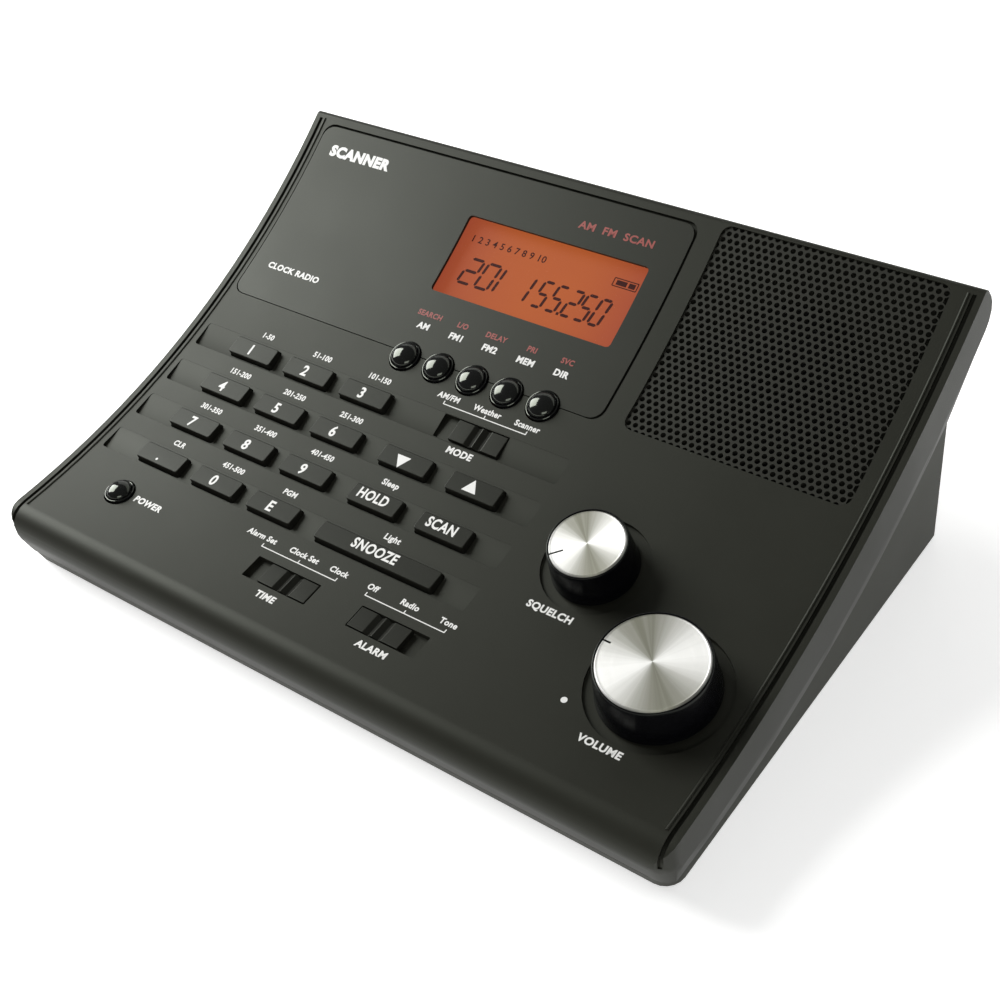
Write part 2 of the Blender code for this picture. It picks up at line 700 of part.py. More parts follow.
def battery_box():
    """The battery block's x and y limits: (left, right, front, rear) of its hollow."""
    half = BATTERY_SIZE[0] / 2
    rear = BASE_DEPTH - WALL
    return BATTERY_X - half, BATTERY_X + half, rear - BATTERY_SIZE[1], rear


def box(name, low, high):
    centre = (Vector(low) + Vector(high)) / 2
    size = Vector(high) - Vector(low)
    bm = bmesh.new()
    bmesh.ops.create_cube(bm, size=1.0, matrix=Matrix.Translation(centre)
                          @ Matrix.Diagonal((*size, 1.0)))
    return to_mesh(name, bm)


def make_base_shell():
    low, high = front_slope()
    seam_front = meet(high, low, SEAM_CENTRE, SEAM_RADIUS + CLEAR)
    rear_z = seam_height(BASE_DEPTH, CLEAR)
    start = math.atan2(rear_z - SEAM_CENTRE[1], BASE_DEPTH - SEAM_CENTRE[0])
    end = math.atan2(seam_front[1] - SEAM_CENTRE[1], seam_front[0] - SEAM_CENTRE[0])
    top = arc(SEAM_CENTRE, SEAM_RADIUS + CLEAR, start, end, FACE_STEPS)
    outline = [(0.0, 0.0), (BASE_DEPTH, 0.0)] + top
    base = add("base_shell", prism("base_shell", outline, -BASE_HALF, BASE_HALF), CASE)
    combine(base, add_cutter("base_corners", front_corners("base_corners", BASE_HALF)))
    rear, roof = BASE_DEPTH - WALL, 0.12
    hollow = [(inner_slope(FLOOR), FLOOR), (rear, FLOOR), (rear, roof), (inner_slope(roof), roof)]
    inside = BASE_HALF - WALL
    combine(base, add_cutter("base_hollow", prism("base_hollow", hollow, -inside, inside)))

    left, right, front, back = battery_box()
    block_low = (left - BATTERY_WALL, front - BATTERY_WALL, 0.0008)
    block_high = (right + BATTERY_WALL, back + WALL / 2, BATTERY_SIZE[2] + 0.0015)
    combine(base, add_cutter("battery_block", box("battery_block", block_low, block_high)),
            "UNION")
    bosses = [(Matrix.Translation((x, y, 0)), BOSS_RADIUS, FLOOR / 2, BOSS_HEIGHT)
              for x, y in screw_places()]
    stand_x = BOARD_HALF_WIDTH - 0.010
    bosses += [(Matrix.Translation((side * stand_x, y, 0)), 0.0025, FLOOR / 2,
                MAIN_BOARD_HEIGHT - CLEAR) for side in (-1, 1)
               for y in (MAIN_BOARD[0] + 0.005, MAIN_BOARD[1] - 0.005)]
    combine(base, add_cutter("base_bosses", drums("base_bosses", bosses, 16)), "UNION")

    slot_low = (left - DOOR_MARGIN - CLEAR, front - DOOR_MARGIN - CLEAR, -0.002)
    slot_high = (right + DOOR_MARGIN + CLEAR, BASE_DEPTH + 0.002, DOOR_THICKNESS + CLEAR)
    combine(base, add_cutter("door_slot", box("door_slot", slot_low, slot_high)))
    combine(base, add_cutter("battery_hollow", box("battery_hollow", (left, front, -0.002),
                                                   (right, back, BATTERY_SIZE[2]))))
    holes = [(Matrix.Translation((x, y, 0)), FOOT_RADIUS + CLEAR, -0.002, FOOT_POCKET)
             for name, x, y in foot_places()]
    holes += [(Matrix.Translation((x, y, 0)), SCREW_HEAD_RADIUS + CLEAR, -0.002, COUNTERBORE)
              for x, y in screw_places()]
    combine(base, add_cutter("underside_holes", drums("underside_holes", holes, 24)))
    pilots = [(Matrix.Translation((x, y, 0)), SCREW_SHANK_RADIUS + CLEAR, 0.002, 0.02)
              for x, y in screw_places()]
    combine(base, add_cutter("boss_pilots", drums("boss_pilots", pilots, 12)))
    jacks = [(rear_frame(ANTENNA_PLACE), ANTENNA_RADIUS + CLEAR, -0.01, 0.01),
             (rear_frame(POWER_PLACE), POWER_INLET_RADIUS + CLEAR, -0.01, 0.01)]
    combine(base, add_cutter("jack_holes", drums("jack_holes", jacks, 32)))
    return base


def rear_frame(place):
    """A place on the rear wall, with Z pointing backwards out of it."""
    x, z = place
    return Matrix.Translation((x, BASE_DEPTH, z)) @ Matrix.Rotation(-math.pi / 2, 4, "X")


def make_battery_door():
    left, right, front, back = battery_box()
    low = (left - DOOR_MARGIN, front - DOOR_MARGIN, 0.0)
    high = (right + DOOR_MARGIN, BASE_DEPTH, DOOR_THICKNESS)
    add("battery_door", box("battery_door", low, high), CASE)


def make_feet_and_screws():
    for name, x, y in foot_places():
        profile = ((0.0, FOOT_POCKET - CLEAR), (FOOT_RADIUS, FOOT_POCKET - CLEAR),
                   (FOOT_RADIUS, 0.0004 - FOOT_PROUD), (FOOT_RADIUS - 0.0004, -FOOT_PROUD),
                   (0.0, -FOOT_PROUD))
        turned(name, profile, RUBBER, Matrix.Translation((x, y, 0)), 24)
    head_top = COUNTERBORE - CLEAR
    head_low = head_top - SCREW_HEAD_HEIGHT
    for number, (x, y) in enumerate(screw_places()):
        profile = ((0.0, SCREW_TOP), (SCREW_SHANK_RADIUS - 0.0006, SCREW_TOP),
                   (SCREW_SHANK_RADIUS, SCREW_TOP - 0.0014), (SCREW_SHANK_RADIUS, head_top),
                   (SCREW_HEAD_RADIUS, head_top), (SCREW_HEAD_RADIUS, head_low + 0.0006),
                   (SCREW_HEAD_RADIUS - 0.0006, head_low), (0.001, head_low),
                   (0.0, head_low + 0.001))
        turned(f"case_screw_{number + 1}", profile, STEEL, Matrix.Translation((x, y, 0)), 16)


# ================================================================ display
def make_display():
    mesh = arc_slab("display_panel", PANEL_LEFT, PANEL_RIGHT, PANEL_STATIONS, 0.0,
                    PANEL_THICKNESS, PANEL_CORNER)
    panel = add("display_panel", mesh, CASE)
    here = on_face((DISPLAY_X, DISPLAY_STATION))
    half_x, half_y = DISPLAY_SIZE[0] / 2, DISPLAY_SIZE[1] / 2
    opening = block("display_opening", ((half_x, half_y, DISPLAY_CORNER, -0.003),
                                        (half_x, half_y, DISPLAY_CORNER, 0.003)))
    combine(panel, add_cutter("display_opening", opening, here))
    combine(panel, add_cutter("panel_holes", button_holes("panel_holes", DOME_GAP)))

    top = -PANEL_THICKNESS - CLEAR
    size = (half_x + WINDOW_MARGIN, half_y + WINDOW_MARGIN, DISPLAY_CORNER)
    add("lcd_window", block("lcd_window", ((*size, top - WINDOW_THICKNESS), (*size, top))),
        CLEAR_LENS, here)
    top = -WALL - CLEAR
    size = (GLASS_SIZE[0] / 2, GLASS_SIZE[1] / 2, 0.0006)
    add("lcd_glass", block("lcd_glass", ((*size, top - GLASS_SIZE[2]), (*size, top))), LCD, here)
    top -= GLASS_SIZE[2] + CLEAR
    add("backlight_guide", block("backlight_guide", ((*size, top - BACKLIGHT_THICKNESS),
                                                     (*size, top))), LIGHT_GUIDE, here)


# ================================================================ keys, buttons, sliders
def make_keys():
    lip_top = -WALL - CLEAR
    stem_height = CLEAR + MAT_THICKNESS + DOME_HEIGHT + KEY_TRAVEL + CLEAR
    for name, x, station, width in key_places():
        half_x, half_y = width / 2, KEY_HEIGHT / 2
        foot = drop_to_board((x, station), stem_height, STEM[1])
        levels = ((*STEM, 0.0005, foot), (*STEM, 0.0005, lip_top - LIP_THICKNESS),
                  (half_x + LIP, half_y + LIP, KEY_CORNER, lip_top - LIP_THICKNESS),
                  (half_x + LIP, half_y + LIP, KEY_CORNER, lip_top),
                  (half_x, half_y, KEY_CORNER, lip_top),
                  (half_x, half_y, KEY_CORNER, KEY_PROUD - KEY_EDGE),
                  (half_x - KEY_EDGE, half_y - KEY_EDGE, KEY_CORNER - KEY_EDGE / 2, KEY_PROUD))
        add(name, block(name, levels), KEYS, on_face((x, station)))


def make_buttons():
    lip_top = -WALL - CLEAR
    stem_height = CLEAR + MAT_THICKNESS + DOME_HEIGHT + KEY_TRAVEL + CLEAR
    for name, place, radius in button_places():
        foot = drop_to_board(place, stem_height, STEM[0])
        rise = DOME_PROUD - 0.0006
        dome = [(radius * math.sin(angle), 0.0006 + rise * math.cos(angle))
                for angle in (math.pi / 2 * i / 4 for i in range(5))]
        profile = dome + [(radius, lip_top), (radius + LIP, lip_top),
                          (radius + LIP, lip_top - LIP_THICKNESS),
                          (STEM[0], lip_top - LIP_THICKNESS), (STEM[0], foot), (0.0, foot)]
        turned(name, profile, GLOSS, on_face(place), 20)


def make_sliders():
    under = -SLOT_DEPTH + CLEAR
    stem_foot = -WALL - SWITCH_DROP + CLEAR
    half_x, half_y = SLIDER_LENGTH / 2, SLOT_SIZE[1] / 2 - CLEAR
    for name, place, end in SLIDERS:
        here = slider_place(place, end)
        pad, corner = 0.0006, 0.0004
        levels = ((*SLIDER_STEM, 0.0002, stem_foot), (*SLIDER_STEM, 0.0002, under),
                  (half_x, half_y, corner, under), (half_x, half_y, corner, SLIDER_PROUD - pad),
                  (half_x - 0.0004, half_y - 0.0004, corner, SLIDER_PROUD))
        add(f"{name}_slider", block(f"{name}_slider", levels), KEYS, on_face(here))
        height = CLEAR + MAT_THICKNESS + CLEAR
        foot = drop_to_board(place, height, SWITCH_SIZE[1] / 2)
        size = (SWITCH_SIZE[0] / 2, SWITCH_SIZE[1] / 2, 0.0005)
        add(f"{name}_switch", block(f"{name}_switch", ((*size, foot),
                                                       (*size, -WALL - SWITCH_DROP))),
            SWITCH, on_face(place))


# ================================================================ knobs
def make_knobs():
    for name, place, radius, height in KNOBS:
        here = on_face(place)
        foot = KNOB_LIFT - DISH_DEPTH
        rim = radius + KNOB_RIM
        bore = SHAFT_RADIUS + CLEAR
        seat = height - CAP_THICKNESS - CLEAR
        shaft_top = seat - 0.003
        profile = ((radius + CLEAR, seat), (radius + CLEAR, height - 0.0001),
                   (rim, height - 0.0001), (rim + 0.0003, height - 0.0012),
                   (rim + KNOB_FLARE, foot + 0.0004), (rim + KNOB_FLARE, foot),
                   (bore, foot), (bore, shaft_top + CLEAR), (0.0, shaft_top + CLEAR),
                   (0.0, seat))
        turned(f"{name}_knob", profile[-1:] + profile[:-1], KNOB, here, 40)
        disc = ((0.0, height), (radius - 0.0003, height), (radius, height - 0.0003),
                (radius, seat + CLEAR), (0.0, seat + CLEAR))
        turned(f"{name}_cap", disc, TURNED, here, 40)
        pot_top = -WALL - 2 * CLEAR
        shaft_foot = pot_top - SHAFT_DEPTH_IN_POT
        shaft = ((0.0, shaft_top), (SHAFT_RADIUS - 0.0003, shaft_top),
                 (SHAFT_RADIUS, shaft_top - 0.0003), (SHAFT_RADIUS, shaft_foot),
                 (0.0, shaft_foot))
        turned(f"{name}_shaft", shaft, STEEL, here, 20)
        pot_foot = drop_to_board(place, CLEAR, POT_RADIUS)
        pot = ((bore, pot_top), (POT_RADIUS, pot_top), (POT_RADIUS, pot_foot),
               (0.0, pot_foot), (0.0, shaft_foot - CLEAR), (bore, shaft_foot - CLEAR))
        ring = ((0.0, shaft_foot - CLEAR), (bore, shaft_foot - CLEAR)) + pot[:4]
        turned(f"{name}_pot", ring, STEEL, here, 20)


# ================================================================ loudspeaker
def make_speaker():
    left, right = GRILLE_X - GRILLE_WIDTH / 2, GRILLE_X + GRILLE_WIDTH / 2
    mesh = arc_slab("speaker_grille", left, right, GRILLE_STATIONS, GRILLE_DROP,
                    GRILLE_DROP + GRILLE_THICKNESS, GRILLE_CORNER)
    add("speaker_grille", mesh, MESH_BLACK)
    here = on_face((GRILLE_X, SPEAKER_STATION))
    top = -WALL - CLEAR
    flange, foot = top - 0.0015, top - SPEAKER_DEPTH
    shelf = foot + 0.0065
    basket = ((MAGNET_RADIUS - 0.003, shelf + 0.0012), (SPEAKER_OPENING - 0.0012, top),
              (SPEAKER_RADIUS, top), (SPEAKER_RADIUS, flange), (SPEAKER_OPENING, flange),
              (MAGNET_RADIUS + 0.001, shelf), (MAGNET_RADIUS, shelf), (MAGNET_RADIUS, foot),
              (0.0, foot))
    turned("speaker_basket", ((0.0, shelf + 0.0012),) + basket, STEEL, here, 32)
    rim, hub, lift = SPEAKER_OPENING - 0.0045, MAGNET_RADIUS - 0.003, 0.0036
    low = shelf + lift - 0.0008 - CONE_THICKNESS
    cone = ((0.0, shelf + lift), (hub, shelf + lift), (rim, top),
            (rim + 0.0003, top - CONE_THICKNESS - 0.0002), (hub + 0.0008, low), (0.0, low))
    turned("speaker_cone", cone, PAPER, here, 32)


# ================================================================ boards and jacks
def make_boards():
    half_y = BOARD_SPAN / 2
    size = (BOARD_HALF_WIDTH, half_y, 0.001)
    add("control_board", block("control_board", ((*size, -BOARD_THICKNESS), (*size, 0.0))),
        BOARD, BOARD_FRAME)

    middle = (MAT_LEFT + MAT_RIGHT) / 2
    size = ((MAT_RIGHT - MAT_LEFT) / 2, half_y - 0.0008, 0.001)
    frame = BOARD_FRAME @ Matrix.Translation((middle, 0, 0))
    mat = add("key_mat", block("key_mat", ((*size, CLEAR), (*size, CLEAR + MAT_THICKNESS))),
              SILICONE, frame)
    spots = [(x, station) for name, x, station, width in key_places()]
    spots += [place for name, place, radius in button_places()]
    low, high = CLEAR + MAT_THICKNESS / 2, CLEAR + MAT_THICKNESS + DOME_HEIGHT
    bm = bmesh.new()
    for spot in spots:
        foot = on_face(spot) @ Vector((0, 0, drop_to_board(spot, high, 0.0)))
        there = BOARD_FRAME.inverted() @ foot
        place = BOARD_FRAME @ Matrix.Translation((there.x, there.y, (low + high) / 2))
        bmesh.ops.create_cone(bm, cap_ends=True, segments=10, radius1=DOME_RADIUS,
                              radius2=DOME_RADIUS * 0.7, depth=high - low, matrix=place)
    combine(mat, add_cutter("mat_domes", to_mesh("mat_domes", bm)), "UNION")

    front, rear = MAIN_BOARD
    low, high = MAIN_BOARD_HEIGHT, MAIN_BOARD_HEIGHT + BOARD_THICKNESS
    board = add("main_board", box("main_board", (-BOARD_HALF_WIDTH, front, low),
                                  (BOARD_HALF_WIDTH, rear, high)), BOARD)
    can = box("tuner_can", (0.25 * WIDTH / 2, rear - 0.03, high - 0.0005),
              (0.55 * WIDTH / 2, rear - 0.006, high + 0.006))
    combine(board, add_cutter("tuner_can", can), "UNION")


def make_jacks():
    collar = ANTENNA_RADIUS + 0.002
    back = -WALL - CLEAR
    pin_top = ANTENNA_LENGTH - 0.001
    profile = ((0.0, pin_top), (0.0012, pin_top), (0.0012, 0.002), (0.0040, 0.002),
               (0.0040, ANTENNA_LENGTH), (ANTENNA_RADIUS, ANTENNA_LENGTH),
               (ANTENNA_RADIUS, back), (collar, back),
               (collar, back - 0.0015), (0.0035, back - 0.0015), (0.0035, back - 0.006),
               (0.0, back - 0.006))
    turned("antenna_jack", profile, BRASS, rear_frame(ANTENNA_PLACE), 32)
    pin, bore, lip = 0.001, 0.0029, POWER_INLET_RADIUS + 0.0015
    profile = ((0.0, -0.0012), (pin, -0.0012), (pin, -0.0090), (bore, -0.0090), (bore, 0.0003),
               (POWER_INLET_RADIUS, 0.0003), (POWER_INLET_RADIUS, back), (lip, back),
               (lip, -0.0110), (0.0, -0.0110))
    turned("power_inlet", profile, SWITCH, rear_frame(POWER_PLACE), 24)


make_face_shell()
make_base_shell()
make_display()
make_speaker()
make_keys()
make_buttons()
make_sliders()
make_knobs()
make_boards()
make_jacks()
make_battery_door()
make_feet_and_screws()
print("pieces:", sum(obj.type == "MESH" and not obj.hide_render for obj in RADIO.objects))
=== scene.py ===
# %% [markdown]
# # A desk scanner radio
#
# The radio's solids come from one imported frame. This lesson gives them their looks: what shows is
# either the frame's own piece with a made finish, or a finer piece that stands in for it and
# moves with the same body. Lengths are in metres, +Z is up, and the radio faces -Y.

# %% Load the frame
import json
import math
import bmesh
import bpy
from mathutils import Matrix, Vector


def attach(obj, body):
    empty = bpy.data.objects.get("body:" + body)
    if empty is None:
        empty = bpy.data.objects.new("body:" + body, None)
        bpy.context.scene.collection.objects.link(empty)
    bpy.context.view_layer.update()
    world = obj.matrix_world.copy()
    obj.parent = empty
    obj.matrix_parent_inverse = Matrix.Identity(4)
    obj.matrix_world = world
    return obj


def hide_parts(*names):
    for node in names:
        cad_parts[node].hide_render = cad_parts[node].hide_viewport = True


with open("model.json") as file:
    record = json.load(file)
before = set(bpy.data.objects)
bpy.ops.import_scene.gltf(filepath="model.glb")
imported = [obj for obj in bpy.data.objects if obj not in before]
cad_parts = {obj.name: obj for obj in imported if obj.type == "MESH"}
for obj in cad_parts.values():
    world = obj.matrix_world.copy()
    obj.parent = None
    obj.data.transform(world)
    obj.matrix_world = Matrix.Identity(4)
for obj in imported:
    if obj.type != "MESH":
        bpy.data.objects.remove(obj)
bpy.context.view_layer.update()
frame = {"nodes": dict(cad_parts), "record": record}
NODES = frame["nodes"]
SLOTS = {part["node"]: part["material_slot"] for part in frame["record"]["subparts"]}
BODY_OF = {node: body for body, nodes in frame["record"]["behaviour"]["bodies"].items()
           for node in nodes}
print("pieces in the frame:", len(NODES))

# %% [markdown]
# ## Places on the face
#
# The face is an arc of a large circle whose axis runs along X, above the radio. A place on it is
# an x and a station, the length along the arc from above the front edge. A frame at a place has
# X across, Y up the slope and Z out of the face, so a control is modelled lying flat and then
# set on the face with one matrix.

# %% Face geometry
FACE_RADIUS = 0.2734
FRONT_TILT = math.radians(2.06)
FRONT_HEIGHT = 0.0198
NOSE_RADIUS = 0.0071
NOSE_TILT = math.radians(2.6)
FOOT_PROUD = 0.0008
WIDTH = 0.235                       # over the two cheeks
MIDDLE_Y = 0.0793407                # from the front bottom edge to the middle of the radio
FACE_CENTRE = Vector((-FACE_RADIUS * math.sin(FRONT_TILT) - MIDDLE_Y,
                      FRONT_HEIGHT + FACE_RADIUS * math.cos(FRONT_TILT) + FOOT_PROUD))
NOSE_CENTRE = FACE_CENTRE + Vector((math.sin(NOSE_TILT),
                                    -math.cos(NOSE_TILT))) * (FACE_RADIUS + NOSE_RADIUS)


def station_tilt(station):
    return FRONT_TILT + station / FACE_RADIUS


def on_face(x, station, lift=0.0):
    """The frame of a place on the face, lifted off it along its outward direction."""
    tilt = station_tilt(station)
    reach = FACE_RADIUS - lift
    place = Vector((x, FACE_CENTRE.x + reach * math.sin(tilt),
                    FACE_CENTRE.y - reach * math.cos(tilt)))
    return Matrix.Translation(place) @ Matrix.Rotation(tilt, 4, "X")


print("top of the face:", round(on_face(0, 0.172).translation.z, 4))

# %% [markdown]
# ## Shader sums
#
# A finish is a few nodes and some sums between them. A small class wraps a socket, so that a sum
# reads like a sum, and each operator adds one Math node. Every other node comes from one method.

# %% Sockets as numbers
class Value:
    """An output socket that can be added, multiplied and compared."""

    def __init__(self, finish, socket):
        self.finish = finish
        self.socket = socket

    def join(self, operation, first, second):
        return self.finish.node("ShaderNodeMath", {"operation": operation}, {0: first, 1: second})

    def __add__(self, other):
        return self.join("ADD", self, other)

    def __sub__(self, other):
        return self.join("SUBTRACT", self, other)

    def __mul__(self, other):
        return self.join("MULTIPLY", self, other)

    def __gt__(self, other):
        return self.join("GREATER_THAN", self, other)


class Finish:
    """A material and the nodes behind its one Principled shader."""

    def __init__(self, name, colour, roughness, metallic=0.0, **more):
        self.material = bpy.data.materials.new(name)
        self.material.use_nodes = True
        self.tree = self.material.node_tree
        self.shader = self.tree.nodes["Principled BSDF"]
        self.set("Base Color", (*colour, 1.0))
        self.set("Roughness", roughness)
        self.set("Metallic", metallic)
        for title, value in more.items():
            self.set(title.replace("_", " "), value)
        self.material.diffuse_color = (*colour, 1.0)

    def feed(self, socket, value):
        if isinstance(value, Value):
            self.tree.links.new(value.socket, socket)
        else:
            socket.default_value = value

    def set(self, title, value):
        self.feed(self.shader.inputs[title], value)

    def node(self, kind, settings=None, values=None, output=0):
        made = self.tree.nodes.new(kind)
        for title, value in (settings or {}).items():
            if title == "stops":
                ramp = made.color_ramp.elements
                ramp[0].position, ramp[0].color = value[0][0], (*value[0][1], 1.0)
                ramp[1].position, ramp[1].color = value[-1][0], (*value[-1][1], 1.0)
                for position, colour in value[1:-1]:
                    ramp.new(position).color = (*colour, 1.0)
            else:
                setattr(made, title, value)
        for title, value in (values or {}).items():
            self.feed(made.inputs[title], value)
        return Value(self, made.outputs[output])

    def place(self):
        return self.node("ShaderNodeTexCoord", output="Object")

    def axis(self, letter):
        return self.node("ShaderNodeSeparateXYZ", values={0: self.place()}, output=letter)

    def noise(self, size, detail=2.0, roughness=0.5):
        return self.node("ShaderNodeTexNoise", values={
            "Vector": self.place(), "Scale": 1.0 / size, "Detail": detail,
            "Roughness": roughness})

    def mix(self, share, first, second):
        settings = {"data_type": "RGBA"}
        made = self.node("ShaderNodeMix", settings, {0: share}, output=2)
        inputs = made.socket.node.inputs
        self.feed(inputs[6], first if isinstance(first, Value) else (*first, 1.0))
        self.feed(inputs[7], second if isinstance(second, Value) else (*second, 1.0))
        return made

    def bump(self, height, depth, strength=1.0):
        made = self.node("ShaderNodeBump", values={"Height": height, "Distance": depth,
                                                   "Strength": strength})
        self.set("Normal", made)
        return made


print("shader helpers ready")

# %% [markdown]
# ## Moulded plastic
#
# The case, keys and grille are moulded in dark plastic with a fine spark-eroded grain. A grain
# finer than a millimetre goes into the bump. Handling leaves slow patches that are a little
# lighter and duller, which a second and much larger noise gives.

# %% Plastic finishes
OLIVE = (0.93, 1.0, 0.84, 1.0)          # the tint of the light that the plastic throws back


def moulded(name, colour, roughness, grain=0.0004, depth=0.00002, patch=0.03, lighter=1.25,
            shine=0.2):
    finish = Finish(name, colour, roughness, Specular_IOR_Level=shine, Specular_Tint=OLIVE)
    patches = finish.noise(patch, 3.0)
    fine = finish.noise(grain, 2.0, 0.6)
    pale = tuple(min(1.0, part * lighter) for part in colour)
    finish.set("Base Color", finish.mix(patches * 0.8 + fine * 0.2, colour, pale))
    finish.set("Roughness", patches * 0.12 + (roughness - 0.06))
    finish.bump(fine, depth)
    return finish.material


CASE = moulded("case_plastic", (0.0125, 0.0125, 0.0095), 0.46)
SIDE = moulded("base_plastic", (0.022, 0.022, 0.017), 0.55)
PANEL = moulded("panel_plastic", (0.0125, 0.0125, 0.010), 0.42, 0.0003, 0.000012)
KEY = moulded("key_plastic", (0.010, 0.010, 0.008), 0.38, 0.0003, 0.000008, shine=0.15)
GRILLE = moulded("grille_plastic", (0.016, 0.0155, 0.013), 0.5, 0.0003, 0.00001)
SKIRT = moulded("knob_plastic", (0.0020, 0.0020, 0.0028), 0.26, 0.0003, 0.000004)
GLOSS = moulded("button_gloss", (0.004, 0.004, 0.0045), 0.10, 0.002, 0.000001, 0.004,
                shine=0.5)
SWITCH = moulded("switch_plastic", (0.012, 0.012, 0.012), 0.4)
RUBBER = moulded("foot_rubber", (0.018, 0.018, 0.018), 0.8, 0.0006, 0.00004)
PAPER = moulded("cone_paper", (0.02, 0.02, 0.02), 0.85, 0.0008, 0.00005)
SILICONE = moulded("key_mat_silicone", (0.20, 0.20, 0.20), 0.6)
print("plastics made")

# %% [markdown]
# ## Turned aluminium
#
# The disc on each knob was faced on a lathe. The tool leaves fine rings, and light caught in them
# spreads into two bright wedges that face each other across the disc. Rings in the bump follow the
# distance to the disc's axis. The wedges are a painted highlight: a colour from dark to pale metal
# that follows the angle round the disc. The tool's uneven pull also shows as faint spokes, which
# come from a noise read round the disc.

# %% Metal finishes
RING_PITCH = 0.00022
HIGHLIGHT_WEDGE_TURN = math.radians(88)       # twice the angle of the middle line of the painted highlight wedges


def turned_disc(name, frame_on_face):
    """Rings, spokes and painted highlight wedges about one disc's axis, read in its own frame."""
    finish = Finish(name, (0.80, 0.80, 0.76), 0.36, 1.0)
    centre = frame_on_face.translation
    tilt = frame_on_face.to_euler().x
    moved = finish.node("ShaderNodeVectorMath", {"operation": "SUBTRACT"},
                        {0: finish.place(), 1: tuple(centre)})
    flat = finish.node("ShaderNodeVectorRotate", {"rotation_type": "X_AXIS"},
                       {"Vector": moved, "Angle": -tilt})
    x, y = (finish.node("ShaderNodeSeparateXYZ", values={0: flat}, output=i) for i in (0, 1))
    square = x * x + y * y
    radius = finish.node("ShaderNodeMath", {"operation": "SQRT"}, {0: square})
    angle = finish.node("ShaderNodeMath", {"operation": "ARCTAN2"}, {0: y, 1: x})
    rings = finish.node("ShaderNodeMath", {"operation": "SINE"},
                        {0: radius * (2 * math.pi / RING_PITCH)})
    uneven = finish.node("ShaderNodeTexNoise", {"noise_dimensions": "1D"},
                         {"W": radius * 9000.0, "Scale": 1.0, "Detail": 2.0})
    finish.bump(rings * 0.5 + uneven, 0.00001, 0.8)
    # Painted highlight: the base colour runs from dark to pale metal with the angle round the disc,
    # in two bright wedges, and the spokes vary it.
    painted_highlight_wedge = finish.node("ShaderNodeMath", {"operation": "COSINE"},
                        {0: angle * 2.0 - HIGHLIGHT_WEDGE_TURN})
    spoke = finish.node("ShaderNodeTexNoise", {"noise_dimensions": "1D"},
                        {"W": angle * 6.0, "Scale": 1.0, "Detail": 3.0})
    share = painted_highlight_wedge * 0.5 + spoke * 0.24 + 0.40
    finish.set("Base Color", finish.mix(share, (0.22, 0.22, 0.175), (0.86, 0.86, 0.83)))
    finish.set("Roughness", uneven * 0.10 + 0.45)
    return finish.material


def plated(name, colour, roughness):
    finish = Finish(name, colour, roughness, 1.0)
    drawn = finish.noise(0.0006, 3.0)
    finish.set("Roughness", drawn * 0.2 + (roughness - 0.1))
    finish.set("Base Color", finish.mix(drawn, colour, tuple(part * 0.8 for part in colour)))
    finish.bump(drawn, 0.000006)
    return finish.material


STEEL = plated("plated_steel", (0.56, 0.56, 0.56), 0.35)
BRASS = plated("plated_brass", (0.72, 0.68, 0.60), 0.28)
print("metals made")

# %% [markdown]
# ## Display, lens, boards and inks
#
# The display is a liquid crystal cell lit from behind in orange. The light is brightest in the
# middle and reddens towards the ends, so its colour follows x. The clear lens in front only adds
# a reflection. The inks are flat prints, with a little unevenness.

# %% Lit and printed finishes
def lit_display(name, middle, width, glow):
    finish = Finish(name, (0.60, 0.17, 0.05), 0.6, Specular_IOR_Level=0.1)
    across = (finish.axis("X") - middle) * (2.0 / width)
    patches = finish.noise(0.02, 1.0)
    share = across * across * 0.75 + patches * 0.3
    colour = finish.mix(share, (0.82, 0.195, 0.048), (0.62, 0.120, 0.055))
    finish.set("Base Color", finish.mix(0.94, colour, (0.02, 0.004, 0.002)))
    finish.set("Emission Color", colour)
    finish.set("Emission Strength", glow)
    return finish.material


def ink(name, colour, roughness=0.5, shine=0.5):
    finish = Finish(name, colour, roughness, Specular_IOR_Level=shine)
    speck = finish.noise(0.0003, 2.0)
    finish.set("Base Color", finish.mix(speck, colour, tuple(part * 0.85 for part in colour)))
    return finish.material


def board_green():
    finish = Finish("circuit_board", (0.02, 0.10, 0.04), 0.4)
    tracks = finish.noise(0.004, 1.0) > 0.5
    finish.set("Base Color", finish.mix(tracks, (0.015, 0.08, 0.03), (0.03, 0.14, 0.06)))
    return finish.material


def clear_lens():
    finish = Finish("clear_lens", (0.03, 0.02, 0.015), 0.05, Alpha=0.05,
                    Specular_IOR_Level=0.2)
    smear = finish.noise(0.01, 2.0)
    finish.set("Roughness", smear * 0.06 + 0.03)
    return finish.material


LCD = lit_display("display_glass", -0.0092, 0.066, 0.55)
GUIDE = ink("light_guide", (0.9, 0.6, 0.4), 0.4)
WHITE = ink("white_ink", (0.80, 0.80, 0.77))
RED = ink("red_ink", (0.27, 0.035, 0.022))
SEGMENT = ink("display_segments", (0.05, 0.008, 0.006), 0.6, 0.1)
BOARD = board_green()
LENS = clear_lens()
SLOT_FINISH = {"case_plastic": CASE, "key_plastic": KEY, "gloss_plastic": GLOSS,
               "knob_plastic": SKIRT, "turned_aluminium": STEEL, "clear_lens": LENS,
               "display_glass": LCD, "light_guide": GUIDE, "grille_plastic": GRILLE,
               "plated_steel": STEEL, "cone_paper": PAPER, "circuit_board": BOARD,
               "silicone": SILICONE, "switch_plastic": SWITCH, "foot_rubber": RUBBER,
               "plated_brass": BRASS}
for node, obj in NODES.items():
    obj.data.materials.clear()
    obj.data.materials.append(SLOT_FINISH[SLOTS[node]])
NODES["speaker_basket"].data.materials[0] = SWITCH      # painted black behind the grille
print("finishes on the frame:", len(SLOT_FINISH))

# %% [markdown]
# ## Finishing a piece
#
# Each new mesh gets the same end: normals out, smooth shading with its sharp edges kept, one
# material and a body to ride on.

# %% Piece helper
SHARP = math.radians(32)


